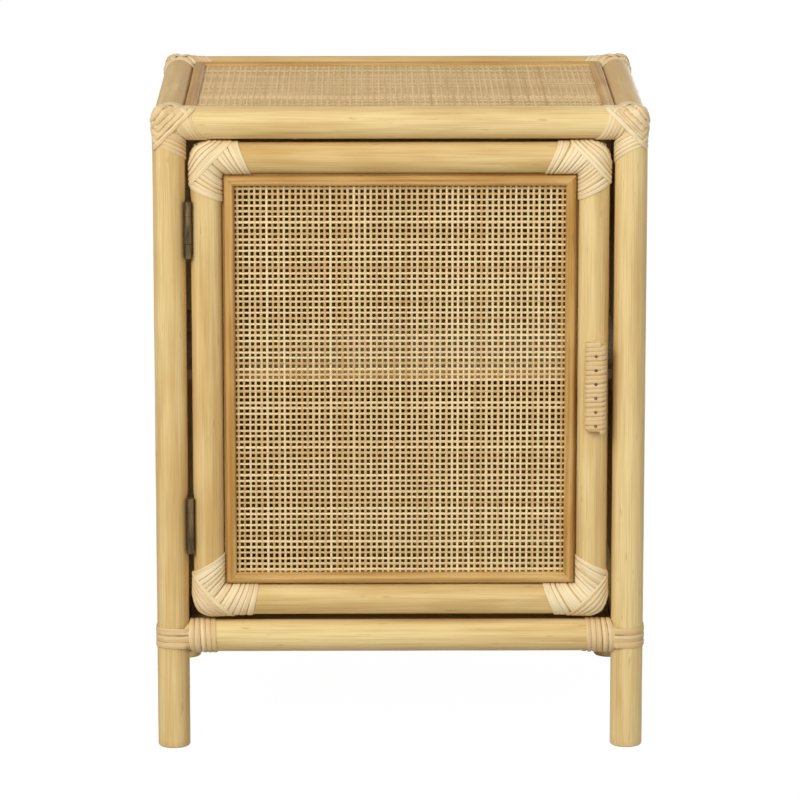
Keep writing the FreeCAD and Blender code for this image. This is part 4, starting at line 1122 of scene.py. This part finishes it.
def board(node, thin, material):
    """A board in the place of a CAD node. thin is the axis that it is thin along."""
    bm = new_bmesh()
    low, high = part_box(node)
    size = high - low + 2 * BOARD_FIT * (Vector((1, 1, 1)) - thin)
    shape = Matrix.Translation((low + high) / 2) @ Matrix.Diagonal((*size, 1))
    bmesh.ops.create_cube(bm, size=1, matrix=shape)
    round_edges(bm, bm.edges[:], BOARD_EDGE, segments=2)
    finish_piece(bm, node + "_panel", "cabinet", material, "plywood", [node])


board("top_board", Z_AXIS, plywood_level)
board("bottom_board", Z_AXIS, plywood_level)
board("left_side_board", X_AXIS, plywood_upright)
board("right_side_board", X_AXIS, plywood_upright)
board("back_board", Y_AXIS, plywood_upright)
print("boards done")

# %% [markdown]
# ## Cane nets
# The door's net is woven from split cane with square holes between the strands, so the shelf shows
# through it. The same net covers the boards. A strand is laid like a binding strip, and it goes
# over and under the strands that it crosses. Real strands differ in width and colour and wander a
# little, so these do too.

# %% Net maker
STRAND_W, STRAND_T = 0.0023, 0.0008
STRAND_RISE = 0.00045
STRAND_WIDTHS = (0.86, 1.12)  # narrowest and widest strand, as a share of STRAND_W
STRAND_SHIFT = 0.00022  # the most that a strand lies out of its place
STRAND_WANDER, STRAND_WAVES = 0.00025, 18  # how it wanders from there, and how often in a metre
STRAND_SEEDS = 99
STRAND_TINT = 0.2  # the spread of the strands' tints
STRAND_SECTION = ((-1, 0.25), (-0.55, 1), (0.55, 1), (1, 0.25), (0, 0))


def net_strands(name, looks, nodes, seat, along, beside, count, crossings, span, length, lap,
                shade):
    """Strands that run along one direction and lie beside each other over span."""
    bm = new_bmesh()
    front = along.cross(beside)
    for strand in range(count):
        home = ((strand + 0.5) / count - 0.5) * span + draw.uniform(-STRAND_SHIFT, STRAND_SHIFT)
        width = STRAND_W * draw.uniform(*STRAND_WIDTHS)
        seed = draw.uniform(0, STRAND_SEEDS)

        def place(share, across, height):
            run = (share - 0.5) * (length + 2 * lap)
            beat = (run / length + 0.5) * crossings - 0.5
            rise = STRAND_RISE * math.cos(math.pi * (beat + strand))
            wander = STRAND_WANDER * noise.noise(Vector((run * STRAND_WAVES, seed, 0)))
            side = home + 0.5 * across * width + wander
            out = rise + (height - 0.5) * STRAND_T
            return seat + run * along + side * beside + out * front

        tint = draw.gauss(shade, STRAND_TINT)
        lay_strip(bm, 0, 1, 2 * crossings, place, width, length, tint, STRAND_SECTION)
    close_strips(bm)
    finish_piece(bm, name, *looks, nodes)


def net(name, looks, node, seat, across, up, columns, rows, wide, tall, lap=0, shade=0):
    """Level and upright strands in place of node. looks are its body, finish and slot; the slot is
    not used. Level strands are lighter by shade, upright ones darker."""
    net_strands(name + "_level", looks, [node], seat, across, up, rows, columns, tall, wide, lap,
                shade)
    net_strands(name + "_upright", looks, [], seat, -up, across, columns, rows, wide, tall, lap,
                -shade)


# %% Door net
NET_COLUMNS, NET_ROWS = 57, 69  # upright and level strands in the door
NET_LAP = 0.003  # under the trims
DOOR_NET_SHADE = 0.08

low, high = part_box("door_front_trim")
net_wide = high.x - low.x - 2 * TRIM_W
net_tall = high.z - low.z - 2 * TRIM_W
NET_PITCH = net_wide / NET_COLUMNS
net("door_net", ("door", net_cane, "open_cane"), "door_cane", middle("door_cane"), X_AXIS, Z_AXIS,
    NET_COLUMNS, NET_ROWS, net_wide, net_tall, NET_LAP, DOOR_NET_SHADE)
print("door net pitch", round(NET_PITCH * 1000, 2), "mm")

# %% Nets on the boards
BOARD_NET_SHADE = -0.12


def net_on_board(node, across, up):
    low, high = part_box(node)
    front = across.cross(up)
    wide, tall, thick = (abs((high - low).dot(axis)) for axis in (across, up, front))
    seat = (low + high) / 2 + (STRAND_RISE + STRAND_T / 2 - thick / 2) * front
    columns, rows = round(wide / NET_PITCH), round(tall / NET_PITCH)
    net(node, ("cabinet", sheet_cane, "closed_cane"), node, seat, across, up, columns, rows,
        wide, tall, shade=BOARD_NET_SHADE)


for side, (across, up) in BOARD_FACES.items():
    net_on_board(side + "_cane", across, up)
print("nets on boards done")

# %% [markdown]
# ## The handle
# The handle is a flat oval core wound with strip and nailed to the stile with six dark tacks. The
# strip climbs round the oval as a helix. The tacks' heads are small flattened spheres, sunk to
# their middles in the strip.

# %% Handle core
HANDLE_EDGE = 0.0016
low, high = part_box("handle_core")
HANDLE = (low + high) / 2
HANDLE_ROUND = (high.y - low.y) / 2
HANDLE_FLAT = (high.x - low.x) / 2 - HANDLE_ROUND
HANDLE_L = high.z - low.z

bm = new_bmesh()
bmesh.ops.create_circle(bm, cap_ends=True, segments=32, radius=HANDLE_ROUND)
for vert in bm.verts:
    vert.co.x += math.copysign(HANDLE_FLAT, vert.co.x)
lid = bmesh.ops.extrude_face_region(bm, geom=bm.faces[:])["geom"]
bmesh.ops.translate(bm, verts=only(lid, bmesh.types.BMVert), vec=(0, 0, HANDLE_L))
rims = [e for e in bm.edges if abs(e.verts[0].co.z - e.verts[1].co.z) < MERGE]
round_edges(bm, rims, HANDLE_EDGE, segments=3)
bmesh.ops.translate(bm, verts=bm.verts, vec=HANDLE - HANDLE_L / 2 * Z_AXIS)
set_grain(bm, HANDLE, Z_AXIS, X_AXIS, 0)
finish_piece(bm, "handle_grip", "door", rattan, "rattan", ["handle_core"])
print("handle", round(1000 * HANDLE_L, 1), "mm long")

# %% Handle winding
HANDLE_TURNS, HANDLE_STEPS = 19, 34
HANDLE_PITCH = 0.0043
HANDLE_WAVER = 0.3  # of the pitch
HANDLE_TURN_LENGTH = 0.05
HANDLE_SHADE = -0.42
handle_seed = draw.uniform(0, SEEDS)
low_end = HANDLE.z - HANDLE_PITCH * HANDLE_TURNS / 2


def handle_place(turn, across, height):
    angle = math.tau * turn
    radius = HANDLE_ROUND + STRIP_LIFT + height * STRIP_T
    x = radius * math.sin(angle) + math.copysign(HANDLE_FLAT, math.sin(angle))
    count = turn + 0.5 * across * STRIP_COVER + waver(turn, handle_seed, HANDLE_WAVER)
    y = HANDLE.y - radius * math.cos(angle)
    return Vector((HANDLE.x + x, y, low_end + HANDLE_PITCH * count))


bm = new_bmesh()
lay_turns(bm, 0.5 / HANDLE_STEPS, HANDLE_TURNS, HANDLE_STEPS, handle_place, HANDLE_PITCH,
          HANDLE_TURN_LENGTH)
finish_binding(bm, "handle", "door", HANDLE_SHADE)
print("turns on the handle", HANDLE_TURNS)

# %% Handle tacks
TACKS = 6
TACK_R, TACK_RISE = 0.0014, 0.0008

bm = new_bmesh()
low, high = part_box("handle_tacks")
first, last = low.z + TACK_R, high.z - TACK_R
for tack in range(TACKS):
    z = first + (last - first) * tack / (TACKS - 1)
    seat = Vector((HANDLE.x, HANDLE.y - HANDLE_ROUND - STRIP_LIFT - STRIP_T, z))
    shape = Matrix.Translation(seat) @ Matrix.Diagonal((TACK_R, TACK_RISE, TACK_R, 1))
    bmesh.ops.create_uvsphere(bm, u_segments=14, v_segments=8, radius=1, matrix=shape)
finish_piece(bm, "handle_tack_heads", "door", tack_metal, "steel", ["handle_tacks"])
print("tacks", TACKS)
